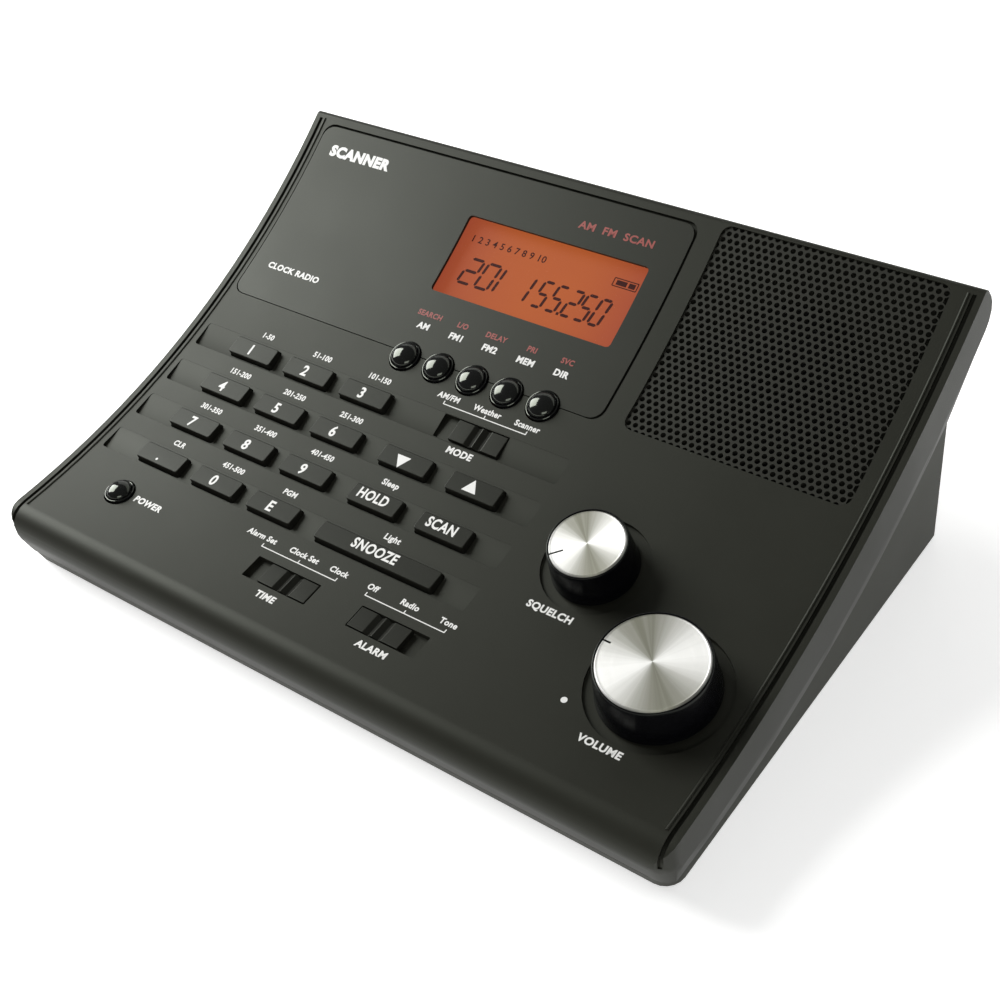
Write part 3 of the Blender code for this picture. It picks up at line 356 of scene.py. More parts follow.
def smooth(mesh, sharp=SHARP):
    """Smooth shading in which a large flat face keeps its own normal to its very edge."""
    mesh.polygons.foreach_set("use_smooth", [True] * len(mesh.polygons))
    mesh.set_sharp_from_angle(angle=sharp)
    mesh.update()
    around = [[] for _ in mesh.vertices]
    for polygon in mesh.polygons:
        for index in polygon.vertices:
            around[index].append((Vector(polygon.normal), polygon.area))
    limit = math.cos(sharp)
    normals = []
    for polygon in mesh.polygons:
        own = Vector(polygon.normal)
        for index in polygon.vertices:
            blend = sum((normal * area for normal, area in around[index]
                         if normal.dot(own) > limit), Vector())
            normals.append(blend.normalized() if blend.length > 0 else own)
    mesh.normals_split_custom_set(normals)


def show(name, mesh, material, body="case", stands_for=()):
    mesh.materials.clear()
    mesh.materials.append(material)
    obj = bpy.data.objects.new(name, mesh)
    bpy.context.scene.collection.objects.link(obj)
    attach(obj, body)
    if stands_for:
        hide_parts(*stands_for)
    return obj


def mesh_of(name, bm, place=Matrix(), sharp=SHARP, recalc=True):
    """Closes a bmesh into a mesh, set at its place."""
    bmesh.ops.transform(bm, matrix=place, verts=bm.verts)
    if recalc:
        bmesh.ops.recalc_face_normals(bm, faces=bm.faces)
    mesh = bpy.data.meshes.new(name)
    bm.to_mesh(mesh)
    bm.free()
    smooth(mesh, sharp)
    return mesh


def joined(name, meshes):
    """Several meshes as one."""
    bm = bmesh.new()
    for mesh in meshes:
        bm.from_mesh(mesh)
        bpy.data.meshes.remove(mesh)
    whole = bpy.data.meshes.new(name)
    bm.to_mesh(whole)
    bm.free()
    return whole


def merged_copy(node):
    bm = bmesh.new()
    bm.from_mesh(NODES[node].data)
    bmesh.ops.remove_doubles(bm, verts=bm.verts, dist=0.000002)
    mesh = bpy.data.meshes.new(node + "_copy")
    bm.to_mesh(mesh)
    bm.free()
    smooth(mesh)
    return mesh


# %% [markdown]
# ## The case halves
#
# The upper half is already cut with its openings, grooves and troughs. Its face is made of narrow
# flat strips, which would show as facets in a low light. The copy keeps the shape, and its
# shading follows the true circles: towards the axis on the hollow face, away from it on the nose.
#
# The floor of each key trough is a ramp, level with the face behind the keys and deepest in front
# of them. The display panel stands a little further from the case at its right and rear edges.

# %% Case
NEAR = 0.00002                      # how far off its surface a point may lie


def true_round(mesh, circles):
    """Sets the shading of strips that lie on circles about X: (centre, radius, sign)."""
    normals = [Vector(corner.vector) for corner in mesh.corner_normals]
    for polygon in mesh.polygons:
        corners = [mesh.vertices[i].co for i in polygon.vertices]
        for centre, radius, sign in circles:
            spokes = [Vector((0.0, co.y - centre.x, co.z - centre.y)) for co in corners]
            if all(abs(spoke.length - radius) < 2 * NEAR for spoke in spokes):
                outward = sum(spokes, Vector()).normalized() * sign
                if outward.dot(polygon.normal) > 0.97:
                    for loop, spoke in zip(polygon.loop_indices, spokes):
                        normals[loop] = spoke.normalized() * sign
    mesh.normals_split_custom_set(normals)


def ramp_troughs(mesh):
    """Tilts each trough's floor: level with the face behind, at full depth in front."""
    floors = {}
    for station in ROWS.values():
        frame_here = on_face(0.0, station)
        back = frame_here.inverted()
        for vert in mesh.vertices:
            place = back @ vert.co
            if abs(place.z + TROUGH_DEPTH) < NEAR and abs(place.y) < TROUGH_HEIGHT * 0.52:
                share = 0.5 - place.y / TROUGH_HEIGHT       # 0 behind, 1 in front
                place.z = -RAMP_DEPTH * share
                vert.co = frame_here @ place
                slope = RAMP_LEAN_BEHIND + (RAMP_LEAN_FRONT - RAMP_LEAN_BEHIND) * share
                floors[vert.index] = frame_here.to_3x3() @ Vector(
                    (0.0, -math.sin(slope), math.cos(slope)))
    mesh.update()
    return floors


def shade_ramps(mesh, floors):
    """Lets the light roll down each ramp as if its floor were hollow."""
    normals = [Vector(corner.vector) for corner in mesh.corner_normals]
    for polygon in mesh.polygons:
        if all(index in floors for index in polygon.vertices):
            if polygon.normal.dot(floors[polygon.vertices[0]]) > 0.9:
                for loop, index in zip(polygon.loop_indices, polygon.vertices):
                    normals[loop] = floors[index]
    mesh.normals_split_custom_set(normals)


def open_gap(mesh):
    """Draws in the panel's right and rear edges, where its gap to the case is widest."""
    right = max(vert.co.x for vert in mesh.vertices)
    rear = max(vert.co.y for vert in mesh.vertices)
    for vert in mesh.vertices:
        if vert.co.x > right - PANEL_CORNER:
            vert.co.x -= WIDER_GAP
        if vert.co.y > rear - PANEL_CORNER:
            spoke = Vector((vert.co.y - FACE_CENTRE.x, vert.co.z - FACE_CENTRE.y))
            turn = Matrix.Rotation(-WIDER_GAP / FACE_RADIUS, 2)
            vert.co.y, vert.co.z = turn @ spoke + FACE_CENTRE
    mesh.update()
    smooth(mesh)


PANEL_CORNER = 0.0045
WIDER_GAP = 0.0005
ROWS = {0: 0.0366, 1: 0.05194, 2: 0.06728, 3: 0.08262}      # the stations of the key rows
TROUGH_DEPTH = 0.0006
RAMP_DEPTH = 0.0010
RAMP_LEAN_BEHIND, RAMP_LEAN_FRONT = math.radians(3.0), math.radians(17.0)
TROUGH_HEIGHT = 0.0087
GROOVE_DEPTH = 0.0012
circles = [(FACE_CENTRE, FACE_RADIUS, -1.0), (NOSE_CENTRE, NOSE_RADIUS, 1.0),
           (FACE_CENTRE, FACE_RADIUS + GROOVE_DEPTH, -1.0)]
face = merged_copy("face_shell")
floors = ramp_troughs(face)
smooth(face)
true_round(face, circles)
shade_ramps(face, floors)
show("face_case", face, CASE, stands_for=("face_shell",))
panel = merged_copy("display_panel")
open_gap(panel)
true_round(panel, circles[:1])
show("display_surround", panel, PANEL, stands_for=("display_panel",))
for node, finish in (("base_shell", SIDE), ("battery_door", SIDE), ("antenna_jack", BRASS),
                     ("power_inlet", SWITCH), ("foot_front_left", RUBBER),
                     ("foot_front_right", RUBBER), ("foot_rear_left", RUBBER),
                     ("foot_rear_right", RUBBER), ("case_screw_1", STEEL),
                     ("case_screw_2", STEEL), ("case_screw_3", STEEL), ("case_screw_4", STEEL)):
    show(node + "_finish", merged_copy(node), finish, BODY_OF[node], stands_for=(node,))
print("case pieces shown")

# %% [markdown]
# A thin raised bead runs beside each groove, from the nose to the rear rim. It is a small circle
# pushed along the face, one step for each few millimetres.

# %% Beads
BEAD_X = 0.1133
BEAD_RADIUS = 0.00045
BEAD_START = 0.0026
BEAD_END = 0.1680
BEAD_SUNK = 0.0001


def bead(side):
    bm = bmesh.new()
    ring = bmesh.ops.create_circle(bm, segments=10, radius=BEAD_RADIUS,
                                   matrix=Matrix.Rotation(math.pi / 2, 4, "X"))["verts"]
    bmesh.ops.transform(bm, matrix=on_face(side * BEAD_X, BEAD_START, -BEAD_SUNK),
                        verts=ring)
    edges = bm.edges[:]
    pivot = (side * BEAD_X, FACE_CENTRE.x, FACE_CENTRE.y)
    bmesh.ops.spin(bm, geom=edges, cent=pivot, axis=(1, 0, 0), steps=60,
                   angle=(BEAD_END - BEAD_START) / FACE_RADIUS, use_merge=False)
    bmesh.ops.holes_fill(bm, edges=bm.edges, sides=10)
    return mesh_of("bead", bm)


show("face_beads", joined("face_beads", [bead(side) for side in (-1, 1)]), CASE)
print("beads added")

# %% [markdown]
# ## Loudspeaker grille
#
# The grille is punched with about a thousand round holes in staggered rows. One cell is a hexagon
# with a round hole in it. Copies of the cell fill the plate, the sheet is thickened, and then each
# point is laid on the arc of the face. The rim of the case covers the cells' outer edges.

# %% Grille
HOLE_PITCH = 0.00226
ROW_PITCH = 0.00202
HOLE_RADIUS = 0.00080
GRILLE_X = (0.0400, 0.1089)
GRILLE_STATIONS = (0.1018, 0.1686)
GRILLE_DROP = 0.0005
GRILLE_THICKNESS = 0.0011


def hole_cell():
    """A flat hexagonal cell with a round hole."""
    bm = bmesh.new()
    half = HOLE_PITCH / 2
    side = (ROW_PITCH ** 2 - half ** 2) / (2 * ROW_PITCH)
    corners = [(half, side), (0.0, ROW_PITCH - side), (-half, side),
               (-half, -side), (0.0, side - ROW_PITCH), (half, -side)]
    outer = [bm.verts.new((x, y, 0.0)) for x, y in corners]
    rim = [bm.edges.new((outer[i], outer[(i + 1) % 6])) for i in range(6)]
    bmesh.ops.subdivide_edges(bm, edges=rim, cuts=1)
    rim = bm.edges[:]
    turn = Matrix.Rotation(math.atan2(side, half), 4, "Z")
    hole = bmesh.ops.create_circle(bm, segments=12, radius=HOLE_RADIUS, matrix=turn)["verts"]
    inner = [edge for edge in bm.edges if edge.verts[0] in hole]
    bmesh.ops.bridge_loops(bm, edges=rim + inner)
    return bm


def grille_sheet():
    cell = hole_cell()
    shape = bpy.data.meshes.new("hole_cell")
    cell.to_mesh(shape)
    cell.free()
    bm = bmesh.new()
    rows = round((GRILLE_STATIONS[1] - GRILLE_STATIONS[0]) / ROW_PITCH)
    columns = round((GRILLE_X[1] - GRILLE_X[0]) / HOLE_PITCH)
    for row in range(rows + 1):
        for column in range(columns + 1 - row % 2):
            shift = Matrix.Translation((GRILLE_X[0] + (column + row % 2 / 2) * HOLE_PITCH,
                                        GRILLE_STATIONS[0] + row * ROW_PITCH, 0.0))
            before = len(bm.verts)
            bm.from_mesh(shape)
            bm.verts.ensure_lookup_table()
            bmesh.ops.transform(bm, matrix=shift, verts=bm.verts[before:])
    bmesh.ops.remove_doubles(bm, verts=bm.verts, dist=0.00001)
    bmesh.ops.recalc_face_normals(bm, faces=bm.faces)
    if bm.faces[:][0].normal.z < 0:
        bmesh.ops.reverse_faces(bm, faces=bm.faces)
    bmesh.ops.solidify(bm, geom=bm.faces[:], thickness=GRILLE_THICKNESS)
    top = max(vert.co.z for vert in bm.verts)
    for vert in bm.verts:
        x, station, height = vert.co
        vert.co = on_face(x, station, height - top - GRILLE_DROP).translation
    return mesh_of("speaker_mesh", bm)


grille = grille_sheet()
show("speaker_mesh", grille, GRILLE, stands_for=("speaker_grille",))
print("grille faces:", len(grille.polygons))

# %% [markdown]
# ## Keys
#
# A key cap is a flat-topped block with rounded corners and a softened top edge. It starts as a
# cube. The upright edges are bevelled first, and then the top's outline.

# %% Keys
KEY_HEIGHT = 0.0063
KEY_PROUD = 0.0015
KEY_FOOT = -0.0027


def side_edges(bm):
    return [edge for edge in bm.edges
            if abs(edge.verts[0].co.z - edge.verts[1].co.z) > 0.5 * edge.calc_length()]


def top_edges(bm, top):
    return [edge for edge in bm.edges
            if all(abs(vert.co.z - top) < 1e-6 for vert in edge.verts)]


def cap_block(width, height, low, top, corner, edge):
    """A block with rounded corners and a softened top."""
    bm = bmesh.new()
    size = Matrix.Diagonal((width, height, top - low, 1.0))
    bmesh.ops.create_cube(bm, size=1.0, matrix=Matrix.Translation((0, 0, (top + low) / 2)) @ size)
    bmesh.ops.bevel(bm, geom=side_edges(bm), offset=corner, segments=4, profile=0.5,
                    affect="EDGES", material=-1)
    bmesh.ops.bevel(bm, geom=top_edges(bm, top), offset=edge, segments=3, profile=0.5,
                    affect="EDGES", material=-1)
    return bm


COLUMNS = (-0.08695, -0.063685, -0.04042)
LEFT, RIGHT = -0.0136065, 0.0114445
KEYS = {"key_dot": (COLUMNS[0], 0), "key_0": (COLUMNS[1], 0), "key_enter": (COLUMNS[2], 0),
        "key_7": (COLUMNS[0], 1), "key_8": (COLUMNS[1], 1), "key_9": (COLUMNS[2], 1),
        "key_4": (COLUMNS[0], 2), "key_5": (COLUMNS[1], 2), "key_6": (COLUMNS[2], 2),
        "key_1": (COLUMNS[0], 3), "key_2": (COLUMNS[1], 3), "key_3": (COLUMNS[2], 3),
        "key_down": (LEFT, 2), "key_up": (RIGHT, 2), "key_hold": (LEFT, 1),
        "key_scan": (RIGHT, 1), "key_snooze": ((LEFT + RIGHT) / 2, 0)}
KEY_WIDTH = 0.0176
for node, (x, row) in KEYS.items():
    width = RIGHT - LEFT + KEY_WIDTH if node == "key_snooze" else KEY_WIDTH
    bm = cap_block(width, KEY_HEIGHT, KEY_FOOT, KEY_PROUD, 0.0008, 0.00035)
    show(node + "_cap", mesh_of(node + "_cap", bm, on_face(x, ROWS[row])), KEY, node,
         stands_for=(node,))
print("keys:", len(KEYS))

# %% [markdown]
# ## Round buttons
#
# Each round button is a polished dome in a low collar. Its outline is a short arc and a step,
# spun about the button's axis.

# %% Buttons
BAND_X = -0.0474 * WIDTH
BUTTONS = {f"band_button_{i + 1}": (BAND_X + 0.0128 * (i - 2), 0.0994, 0.0050) for i in range(5)}
BUTTONS["power_button"] = (-0.3838 * WIDTH, 0.0202, 0.0046)


def lathe(points, steps=64):
    """Spins a profile of (radius, z), which starts and ends on the axis, into a solid."""
    bm = bmesh.new()
    verts = [bm.verts.new((radius, 0.0, z)) for radius, z in points]
    edges = [bm.edges.new(pair) for pair in zip(verts, verts[1:])]
    bmesh.ops.spin(bm, geom=verts + edges, cent=(0, 0, 0), axis=(0, 0, 1), steps=steps,
                   angle=2 * math.pi, use_merge=True)
    bmesh.ops.remove_doubles(bm, verts=bm.verts, dist=0.000002)
    return bm


def arc_points(centre, radius, start, end, steps):
    angles = [math.radians(start + (end - start) * i / steps) for i in range(steps + 1)]
    return [(centre[0] + radius * math.cos(a), centre[1] + radius * math.sin(a)) for a in angles]


def button_profile(radius):
    """From the crown of the dome, over the collar, down to the foot."""
    bulge = radius - 0.0007
    dome = [(bulge * math.sin(a), 0.0007 + 0.0021 * math.cos(a))
            for a in (math.pi / 2 * i / 10 for i in range(11))]
    collar = arc_points((radius - 0.0003, 0.0005), 0.0003, 130, 0, 4)
    return dome + [(bulge, 0.0002)] + collar + [(radius, -0.0024), (0.0, -0.0024)]


for node, (x, station, radius) in BUTTONS.items():
    bm = lathe(button_profile(radius), 48)
    show(node + "_dome", mesh_of(node + "_dome", bm, on_face(x, station)), GLOSS, node,
         stands_for=(node,))
print("buttons:", len(BUTTONS))

# %% [markdown]
# ## Slide switches
#
# The cap of a slide switch has a flat pad at each end and, between them, a ridge with a valley on
# each side for the fingertip to catch. Its side view is one outline, pushed across the slot.

# %% Sliders
SLIDERS = {"mode": (-0.0034 * WIDTH + 0.0027, 0.0829), "time": (-0.0889 * WIDTH + 0.0027, 0.0173),
           "alarm": (0.0753 * WIDTH - 0.0027, 0.0173)}
SLIDER_OUTLINE = [(-0.0088, -0.0014), (-0.0088, 0.0002), (-0.0031, 0.0002), (-0.0017, -0.0008),
                  (-0.0002, 0.0003), (0.0002, 0.0003), (0.0017, -0.0008), (0.0031, 0.0002),
                  (0.0088, 0.0002), (0.0088, -0.0014)]
SLIDER_HALF = 0.0035


def slider_cap():
    bm = bmesh.new()
    verts = [bm.verts.new((x, -SLIDER_HALF, z)) for x, z in SLIDER_OUTLINE]
    side = bm.faces.new(verts)
    push = bmesh.ops.extrude_face_region(bm, geom=[side])["geom"]
    moved = [part for part in push if isinstance(part, bmesh.types.BMVert)]
    bmesh.ops.translate(bm, vec=(0, 2 * SLIDER_HALF, 0), verts=moved)
    bmesh.ops.recalc_face_normals(bm, faces=bm.faces)
    upper = [edge for edge in bm.edges if all(vert.co.z > -0.0012 for vert in edge.verts)]
    bmesh.ops.bevel(bm, geom=upper, offset=0.00022, segments=2, profile=0.5,
                    affect="EDGES", material=-1)
    return bm


for name, (x, station) in SLIDERS.items():
    node = name + "_slider"
    show(node + "_cap", mesh_of(node + "_cap", slider_cap(), on_face(x, station)), KEY, node,
         stands_for=(node,))
print("sliders:", len(SLIDERS))

# %% [markdown]
# ## Knobs
#
# A knob is a black skirt that flares a little to its foot, with a turned disc set in its top. The
# disc's rim has a narrow bevel that always catches the light. A line is milled into each disc as
# a pointer, and filled with a dark strip. It is cut with a Boolean, because it crosses the rings
# of the lathe.

# %% Knobs
KNOBS = {"volume": (0.3866 * WIDTH, 0.0356, 0.0144, 0.0120, math.radians(180), 0.0120),
         "squelch": (0.2405 * WIDTH, 0.0603, 0.01045, 0.0112, math.radians(-136), 0.0064)}
RIM = 0.0006
FLARE = 0.0012
SKIRT_FOOT = -0.0002
STRIP = 0.0003                      # the depth of the dark strip, and how low it lies


def skirt_profile(radius, height):
    seat = height - 0.0012
    rim = radius + RIM
    lip = arc_points((rim - 0.0003, height - 0.0005), 0.0003, 120, 10, 4)
    return [(0.0, seat), (radius + 0.00015, seat), (radius + 0.00015, height - 0.0004)] + lip + [
        (rim + 0.0002, height - 0.0012), (rim + FLARE - 0.0001, SKIRT_FOOT + 0.0006),
        (rim + FLARE, SKIRT_FOOT + 0.0003), (rim + FLARE - 0.0002, SKIRT_FOOT),
        (0.0, SKIRT_FOOT)]


def disc_profile(radius, height):
    bevel = 0.00045
    return [(0.0, height - 0.0001), (radius - bevel - 0.0005, height - 0.0001),
            (radius - bevel, height), (radius, height - bevel),
            (radius, height - 0.0011), (0.0, height - 0.0011)]


def cut_away(obj, cutter):
    """Takes the cutter's shape out of a piece."""
    step = obj.modifiers.new("cut", "BOOLEAN")
    step.operation = "DIFFERENCE"
    step.object = cutter
    bpy.context.view_layer.update()
    shaped = bpy.data.meshes.new_from_object(
        obj.evaluated_get(bpy.context.evaluated_depsgraph_get()))
    obj.modifiers.clear()
    obj.data = shaped
    smooth(obj.data)
    bpy.data.objects.remove(cutter)


def pointer_cutter(place, angle, inner, outer, height):
    bm = bmesh.new()
    length = outer - inner
    size = Matrix.Diagonal((length, 0.00055, 0.0007, 1.0))
    here = (place @ Matrix.Rotation(angle, 4, "Z")
            @ Matrix.Translation(((inner + outer) / 2, 0, height + 0.0001)) @ size)
    bmesh.ops.create_cube(bm, size=1.0, matrix=here)
    obj = bpy.data.objects.new("pointer_cutter", mesh_of("pointer_cutter", bm))
    bpy.context.scene.collection.objects.link(obj)
    return obj


for name, (x, station, radius, height, angle, inner) in KNOBS.items():
    place = on_face(x, station)
    body = name + "_control"
    skirt = mesh_of(name + "_skirt", lathe(skirt_profile(radius, height), 96), place)
    show(name + "_skirt", skirt, SKIRT, body, stands_for=(name + "_knob",))
    disc = mesh_of(name + "_disc", lathe(disc_profile(radius, height), 128), place)
    cap = show(name + "_disc", disc, turned_disc(name + "_turned", place), body,
               stands_for=(name + "_cap",))
    cut_away(cap, pointer_cutter(place, angle, inner, radius + 0.002, height))
    line = bmesh.new()
    bmesh.ops.create_cube(line, size=1.0, matrix=Matrix.Rotation(angle, 4, "Z")
                          @ Matrix.Translation(((inner + radius) / 2, 0, height - STRIP))
                          @ Matrix.Diagonal((radius - inner - 0.0002, 0.0005, STRIP, 1)))
    show(name + "_pointer", mesh_of(name + "_pointer", line, place), SKIRT, body)
    print(name, "disc faces:", len(cap.data.polygons))

# %% [markdown]
# ## Printing
#
# The labels are printed on the face in white, and a second row over the round buttons in dull
# red. They name what each control does. Text starts as a font object, is made a mesh with a film's
# thickness, and is then set on the face. All the labels of one ink are one piece.

# %% Text helpers
FILM = 0.00003


def text_mesh(words, cap_height, place, stretch=1.0, align="CENTER", bold=0.00009):
    curve = bpy.data.curves.new(words, "FONT")
    curve.body = words
    curve.align_x = align
    curve.align_y = "CENTER"
    curve.size = cap_height / 0.72
    curve.extrude = FILM
    curve.offset = bold
    curve.resolution_u = 3
    curve.space_character = 1.08
    holder = bpy.data.objects.new(words, curve)
    bpy.context.scene.collection.objects.link(holder)
    bpy.context.view_layer.update()
    mesh = bpy.data.meshes.new_from_object(
        holder.evaluated_get(bpy.context.evaluated_depsgraph_get()))
    bpy.data.objects.remove(holder)
    mesh.transform(place @ Matrix.Diagonal((stretch, 1.0, 1.0, 1.0)))
    return mesh


def printed(words, x, station, cap_height=0.0021, stretch=1.0, align="CENTER", bold=0.00009):
    return text_mesh(words, cap_height, on_face(x, station, FILM), stretch, align, bold)


def bar(x, station, width, height, lift=FILM, turn=0.0):
    bm = bmesh.new()
    size = Matrix.Diagonal((width, height, 2 * FILM, 1.0))
    bmesh.ops.create_cube(bm, size=1.0, matrix=Matrix.Rotation(turn, 4, "Z") @ size)
    return mesh_of("bar", bm, on_face(x, station, lift))


def bracket(left, right, station, stops):
    """The line under the names of a switch's positions, with a tick up to each."""
    line = [bar((left + right) / 2, station, right - left, 0.0003)]
    return line + [bar(x, station + 0.0005, 0.0003, 0.0012) for x in stops]


# %% Labels on the case
white = []
RANGES = (("1-50", "51-100", "101-150"), ("151-200", "201-250", "251-300"),
          ("301-350", "351-400", "401-450"), ("CLR", "451-500", "PGM"))
LABEL_STATIONS = (0.0895, 0.0741, 0.0591, 0.0435)
BAND_LABELS = (-0.0370, -0.0243, -0.0117, 0.0015, 0.0142)   # over the round buttons
for names, station in zip(RANGES, LABEL_STATIONS):
    for words, column in zip(names, COLUMNS):
        white.append(printed(words, column + 0.0004, station, 0.0019, 0.92))
white.append(printed("Sleep", -0.0135, 0.0591, 0.0020, 0.95))
white.append(printed("Light", -0.0010, 0.0435, 0.0020, 0.95))
for words, x in zip(("AM", "FM1", "FM2", "MEM", "DIR"), BAND_LABELS):
    white.append(printed(words, x, 0.1107, 0.0021, 1.0, bold=0.00012))
for words, x in (("AM/FM", -0.0147), ("Weather", -0.0005), ("Scanner", 0.0138)):
    white.append(printed(words, x, 0.0918, 0.0019, 0.95))
for words, x in (("Alarm Set", -0.0370), ("Clock Set", -0.0208), ("Clock", -0.0077),
                 ("Off", 0.0047), ("Radio", 0.0178), ("Tone", 0.0310)):
    white.append(printed(words, x, 0.0273, 0.0019, 0.95))
white += bracket(-0.0152, 0.0147, 0.0893, (-0.0152, -0.0003, 0.0147))
white += bracket(-0.0347, -0.0067, 0.0243, (-0.0347, -0.0208, -0.0067))
white += bracket(0.0042, 0.0317, 0.0243, (0.0042, 0.0178, 0.0317))
for words, x, station in (("MODE", -0.0005, 0.0762), ("TIME", -0.0207, 0.0103),
                          ("ALARM", 0.0178, 0.0103), ("POWER", -0.0783, 0.0205),
                          ("SQUELCH", 0.0532, 0.0427), ("VOLUME", 0.0872, 0.0143)):
    white.append(printed(words, x, station, 0.0022, 1.0, bold=0.00012))
white.append(printed("SCANNER", -0.1050, 0.1578, 0.0036, 1.05, "LEFT", 0.0003))
white.append(printed("CLOCK RADIO", -0.1042, 0.1134, 0.0021, 1.05, "LEFT", 0.00012))
dot = bmesh.new()
bmesh.ops.create_cone(dot, cap_ends=True, segments=24, radius1=0.0009, radius2=0.0009,
                      depth=2 * FILM)
white.append(mesh_of("dot", dot, on_face(0.0718, 0.0217, FILM)))
show("white_print", joined("white_print", white), WHITE)

red = [printed(words, x, 0.1149, 0.0018, 0.95, bold=0.00008)
       for words, x in zip(("SEARCH", "L/O", "DELAY", "PRI", "SVC"), BAND_LABELS)]
red.append(printed("AM  FM  SCAN", 0.0088, 0.1569, 0.0024, 1.15, bold=0.0001))
show("red_print", joined("red_print", red), RED)
print("labels:", len(white) + len(red))

# %% [markdown]
# The marks on the keys move with their keys, so each is its own piece. The two arrows are
# three-sided cones flattened to a film.

# %% Marks on the keys
KEY_TEXT = {"key_dot": ".", "key_0": "0", "key_enter": "E", "key_hold": "HOLD",
            "key_scan": "SCAN", "key_snooze": "SNOOZE",
            **{f"key_{i}": str(i) for i in range(1, 10)}}
TOP = KEY_PROUD + FILM / 2


def arrow(place, turn):
    bm = bmesh.new()
    bmesh.ops.create_cone(bm, cap_ends=True, segments=3, radius1=0.0030, radius2=0.0030,
                          depth=2 * FILM, matrix=Matrix.Diagonal((0.95, 0.95, 1, 1))
                          @ Matrix.Rotation(turn, 4, "Z"))
    return mesh_of("arrow", bm, place)


for node, (x, row) in KEYS.items():
    rise = 0.0004 if len(KEY_TEXT.get(node, "")) > 1 else -0.0003
    place = on_face(x - 0.0009, ROWS[row] + rise, TOP)
    if node in KEY_TEXT:
        long = len(KEY_TEXT[node]) > 1
        mark = text_mesh(KEY_TEXT[node], 0.0034 if long else 0.0037, place,
                         0.80 if long else 0.90, bold=0.00014)
    else:
        down = node == "key_down"
        mark = arrow(place, math.radians(180 if down else 0))
    show(node + "_mark", mark, WHITE, node)
print("marks:", len(KEYS))

# %% [markdown]
# ## The display
#
# The cell shows slanted figures of seven bars each. One bar is a thin block with pointed ends. A
# figure takes the bars it needs, and the slant is a shear, applied to the whole line.

# %% Display figures
SEGMENTS = {"0": "abcdef", "1": "bc", "2": "abged", "5": "afgcd"}
FIGURE = 0.0086
DISPLAY_X = -0.0391 * WIDTH
GLASS_DEPTH = -0.0025 - 0.0003
SLANT = 0.16


def segment(start, end, thick):
    """A bar between two points, pointed at both ends."""
    start, end = Vector(start), Vector(end)
    along = (end - start).normalized()
    across = Vector((-along.y, along.x, 0)) * thick / 2
    start, end = start + along * 0.0002, end - along * 0.0002
    outline = [start, start + along * thick / 2 + across, end - along * thick / 2 + across, end,
               end - along * thick / 2 - across, start + along * thick / 2 - across]
    bm = bmesh.new()
    side = bm.faces.new([bm.verts.new(point) for point in outline])
    push = bmesh.ops.extrude_face_region(bm, geom=[side])["geom"]
    bmesh.ops.translate(bm, vec=(0, 0, FILM),
                        verts=[part for part in push if isinstance(part, bmesh.types.BMVert)])
    return bm


def figure(sign, x, width, place):
    h, w = FIGURE, width
    lines = {"a": ((0, h), (w, h)), "b": ((w, h / 2), (w, h)), "c": ((w, 0), (w, h / 2)),
             "d": ((0, 0), (w, 0)), "e": ((0, 0), (0, h / 2)), "f": ((0, h / 2), (0, h)),
             "g": ((0, h / 2), (w, h / 2))}
    if sign == "1":
        lines = {"b": ((0, h / 2), (0, h)), "c": ((0, 0), (0, h / 2))}
    shear = Matrix.Identity(4)
    shear[0][1] = SLANT
    meshes = []
    for letter in SEGMENTS[sign]:
        (x0, y0), (x1, y1) = lines[letter]
        bm = segment((x0, y0, 0), (x1, y1, 0), 0.00095)
        meshes.append(mesh_of("bar", bm, place @ Matrix.Translation((x, 0, 0)) @ shear))
    return meshes


here = on_face(DISPLAY_X, 0.1366, GLASS_DEPTH + FILM / 2)
down = Matrix.Translation((0, -0.0074, 0))
digits = []
for sign, x in (("2", -0.0370), ("0", -0.0304), ("1", -0.0236)):
    digits += figure(sign, x - DISPLAY_X, 0.0048, here @ down)
for sign, x in (("1", -0.0122), ("5", -0.0090), ("5", -0.0038), ("2", 0.0018), ("5", 0.0066),
                ("0", 0.0116)):
    digits += figure(sign, x - DISPLAY_X, 0.0034, here @ down)
point = bmesh.new()
bmesh.ops.create_cube(point, size=1.0, matrix=Matrix.Diagonal((0.0009, 0.0009, 2 * FILM, 1)))
digits.append(mesh_of("point", point, here @ Matrix.Translation((0.0010 - DISPLAY_X, -0.0074, 0))))
digits.append(text_mesh("1 2 3 4 5 6 7 8 9 10", 0.0023,
                        here @ Matrix.Translation((-0.0255 - DISPLAY_X, 0.0075, 0)), 1.02,
                        bold=0.00004))
for turn, x, y, width in ((0, 0.0173, 0.0088, 0.0082), (0, 0.0173, 0.0062, 0.0082),
                          (1, 0.0132, 0.0075, 0.0026), (1, 0.0214, 0.0075, 0.0026),
                          (0, 0.0160, 0.0075, 0.0036), (0, 0.0196, 0.0075, 0.0022)):
    mark = bmesh.new()
    thick = 0.0003 if y != 0.0075 or turn else 0.0016
    bmesh.ops.create_cube(mark, size=1.0, matrix=Matrix.Translation((x - DISPLAY_X, y, 0))
                          @ Matrix.Rotation(turn * math.pi / 2, 4, "Z")
                          @ Matrix.Diagonal((width, thick, 2 * FILM, 1)))
    digits.append(mesh_of("mark", mark, here))
show("display_figures", joined("display_figures", digits), SEGMENT)
print("display bars:", len(digits))

# %% [markdown]
# ## Floor, light and camera
#
# The floor is a pale sheet that curves up behind. One broad light low on the left makes
# the sheen on the hollow face, a second fills from the front right, and a pale sky softens the
# rest. The sheet glows a little, so that it stays white.

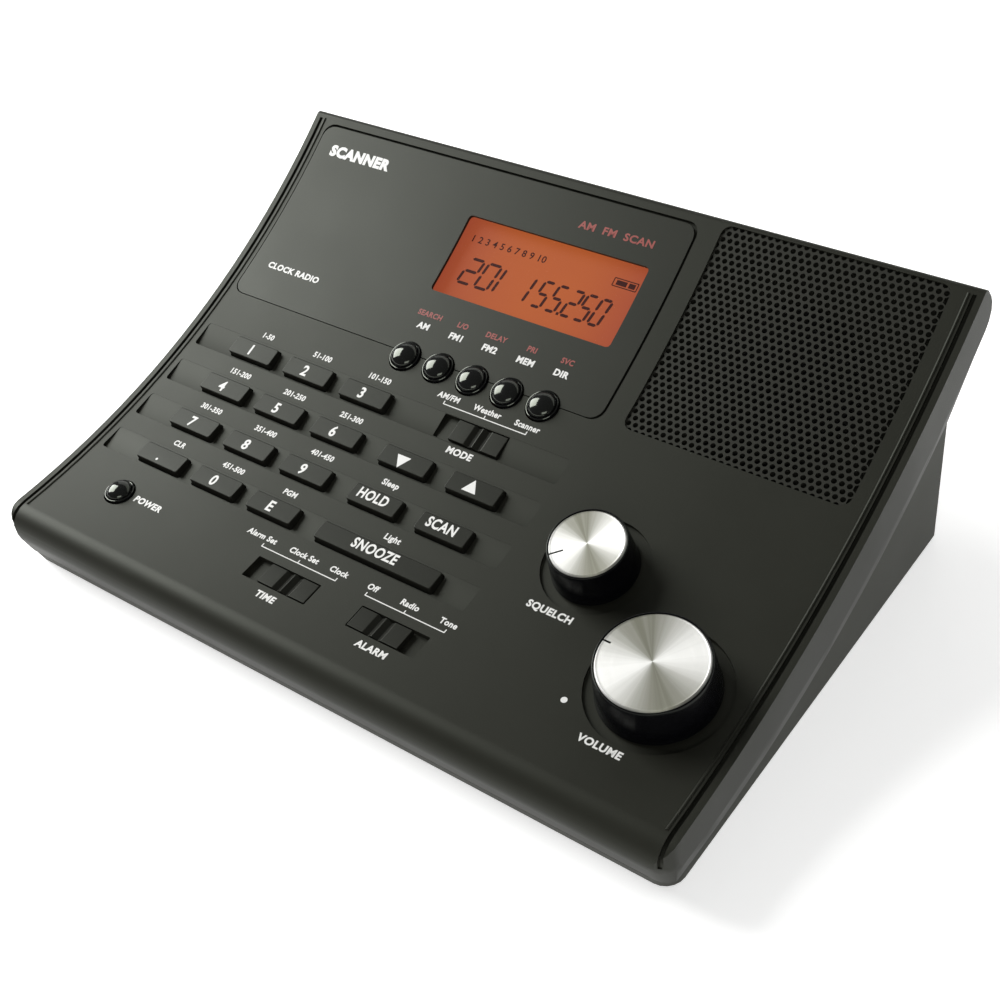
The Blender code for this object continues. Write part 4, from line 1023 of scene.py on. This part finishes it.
# %% Floor
def backdrop():
    bm = bmesh.new()
    profile = [(-6.0, 0.0), (1.2, 0.0)] + [(x, z + 0.6) for x, z in
                                           arc_points((1.2, 0.0), 0.6, -90, 0, 12)] + [(1.8, 2.4)]
    verts = [bm.verts.new((-3.0, y, z)) for y, z in profile]
    edges = [bm.edges.new(pair) for pair in zip(verts, verts[1:])]
    push = bmesh.ops.extrude_edge_only(bm, edges=edges)["geom"]
    bmesh.ops.translate(bm, vec=(6.0, 0, 0),
                        verts=[part for part in push if isinstance(part, bmesh.types.BMVert)])
    bmesh.ops.remove_doubles(bm, verts=bm.verts, dist=0.00001)
    return mesh_of("backdrop", bm)


sheet = Finish("floor_sheet", (0.90, 0.90, 0.89), 0.8)
sheet.set("Base Color", sheet.mix(sheet.noise(0.4, 2.0), (0.90, 0.90, 0.89), (0.92, 0.92, 0.91)))
sheet.set("Emission Color", (1.0, 1.0, 1.0, 1.0))
sheet.set("Emission Strength", 0.5)
backdrop_mesh = backdrop()
backdrop_mesh.materials.append(sheet.material)
floor = bpy.data.objects.new("floor", backdrop_mesh)
bpy.context.scene.collection.objects.link(floor)

# %% Lights
def area_light(name, place, aim, size, power, colour=(1, 1, 1)):
    light = bpy.data.lights.new(name, "AREA")
    light.shape = "RECTANGLE"
    light.size, light.size_y = size
    light.energy = power
    light.color = colour
    obj = bpy.data.objects.new(name, light)
    bpy.context.scene.collection.objects.link(obj)
    obj.location = place
    obj.rotation_euler = (Vector(aim) - Vector(place)).to_track_quat("-Z", "Y").to_euler()


area_light("left_window", (-1.15, -0.05, 0.80), (0, 0, 0.03), (0.8, 0.9), 28)
area_light("front_fill", (0.7, -1.1, 0.7), (0, 0, 0.03), (0.8, 0.6), 6)
world = bpy.data.worlds.new("pale_sky")
world.use_nodes = True
world.node_tree.nodes["Background"].inputs[0].default_value = (1.0, 1.0, 1.0, 1.0)
world.node_tree.nodes["Background"].inputs[1].default_value = 0.15
bpy.context.scene.world = world
bpy.context.scene.view_settings.view_transform = "Standard"

# %% Camera
CAMERA_PLACE = Vector((0.232336, -0.173514 - MIDDLE_Y, 0.307683 + FOOT_PROUD))
CAMERA_AXES = ((0.80080034, 0.59009795, -0.10248526), (-0.32777827, 0.57500607, 0.74961953),
               (0.50127859, -0.56670313, 0.65388633))
camera_data = bpy.data.cameras.new("camera")
camera_data.lens = 54.73
camera_data.sensor_width = 36.0
camera_data.clip_start = 0.01
camera = bpy.data.objects.new("camera", camera_data)
bpy.context.scene.collection.objects.link(camera)
camera.matrix_world = (Matrix.Translation(CAMERA_PLACE)
                       @ Matrix(CAMERA_AXES).transposed().to_4x4())
bpy.context.scene.camera = camera
print("camera at", [round(part, 3) for part in CAMERA_PLACE])
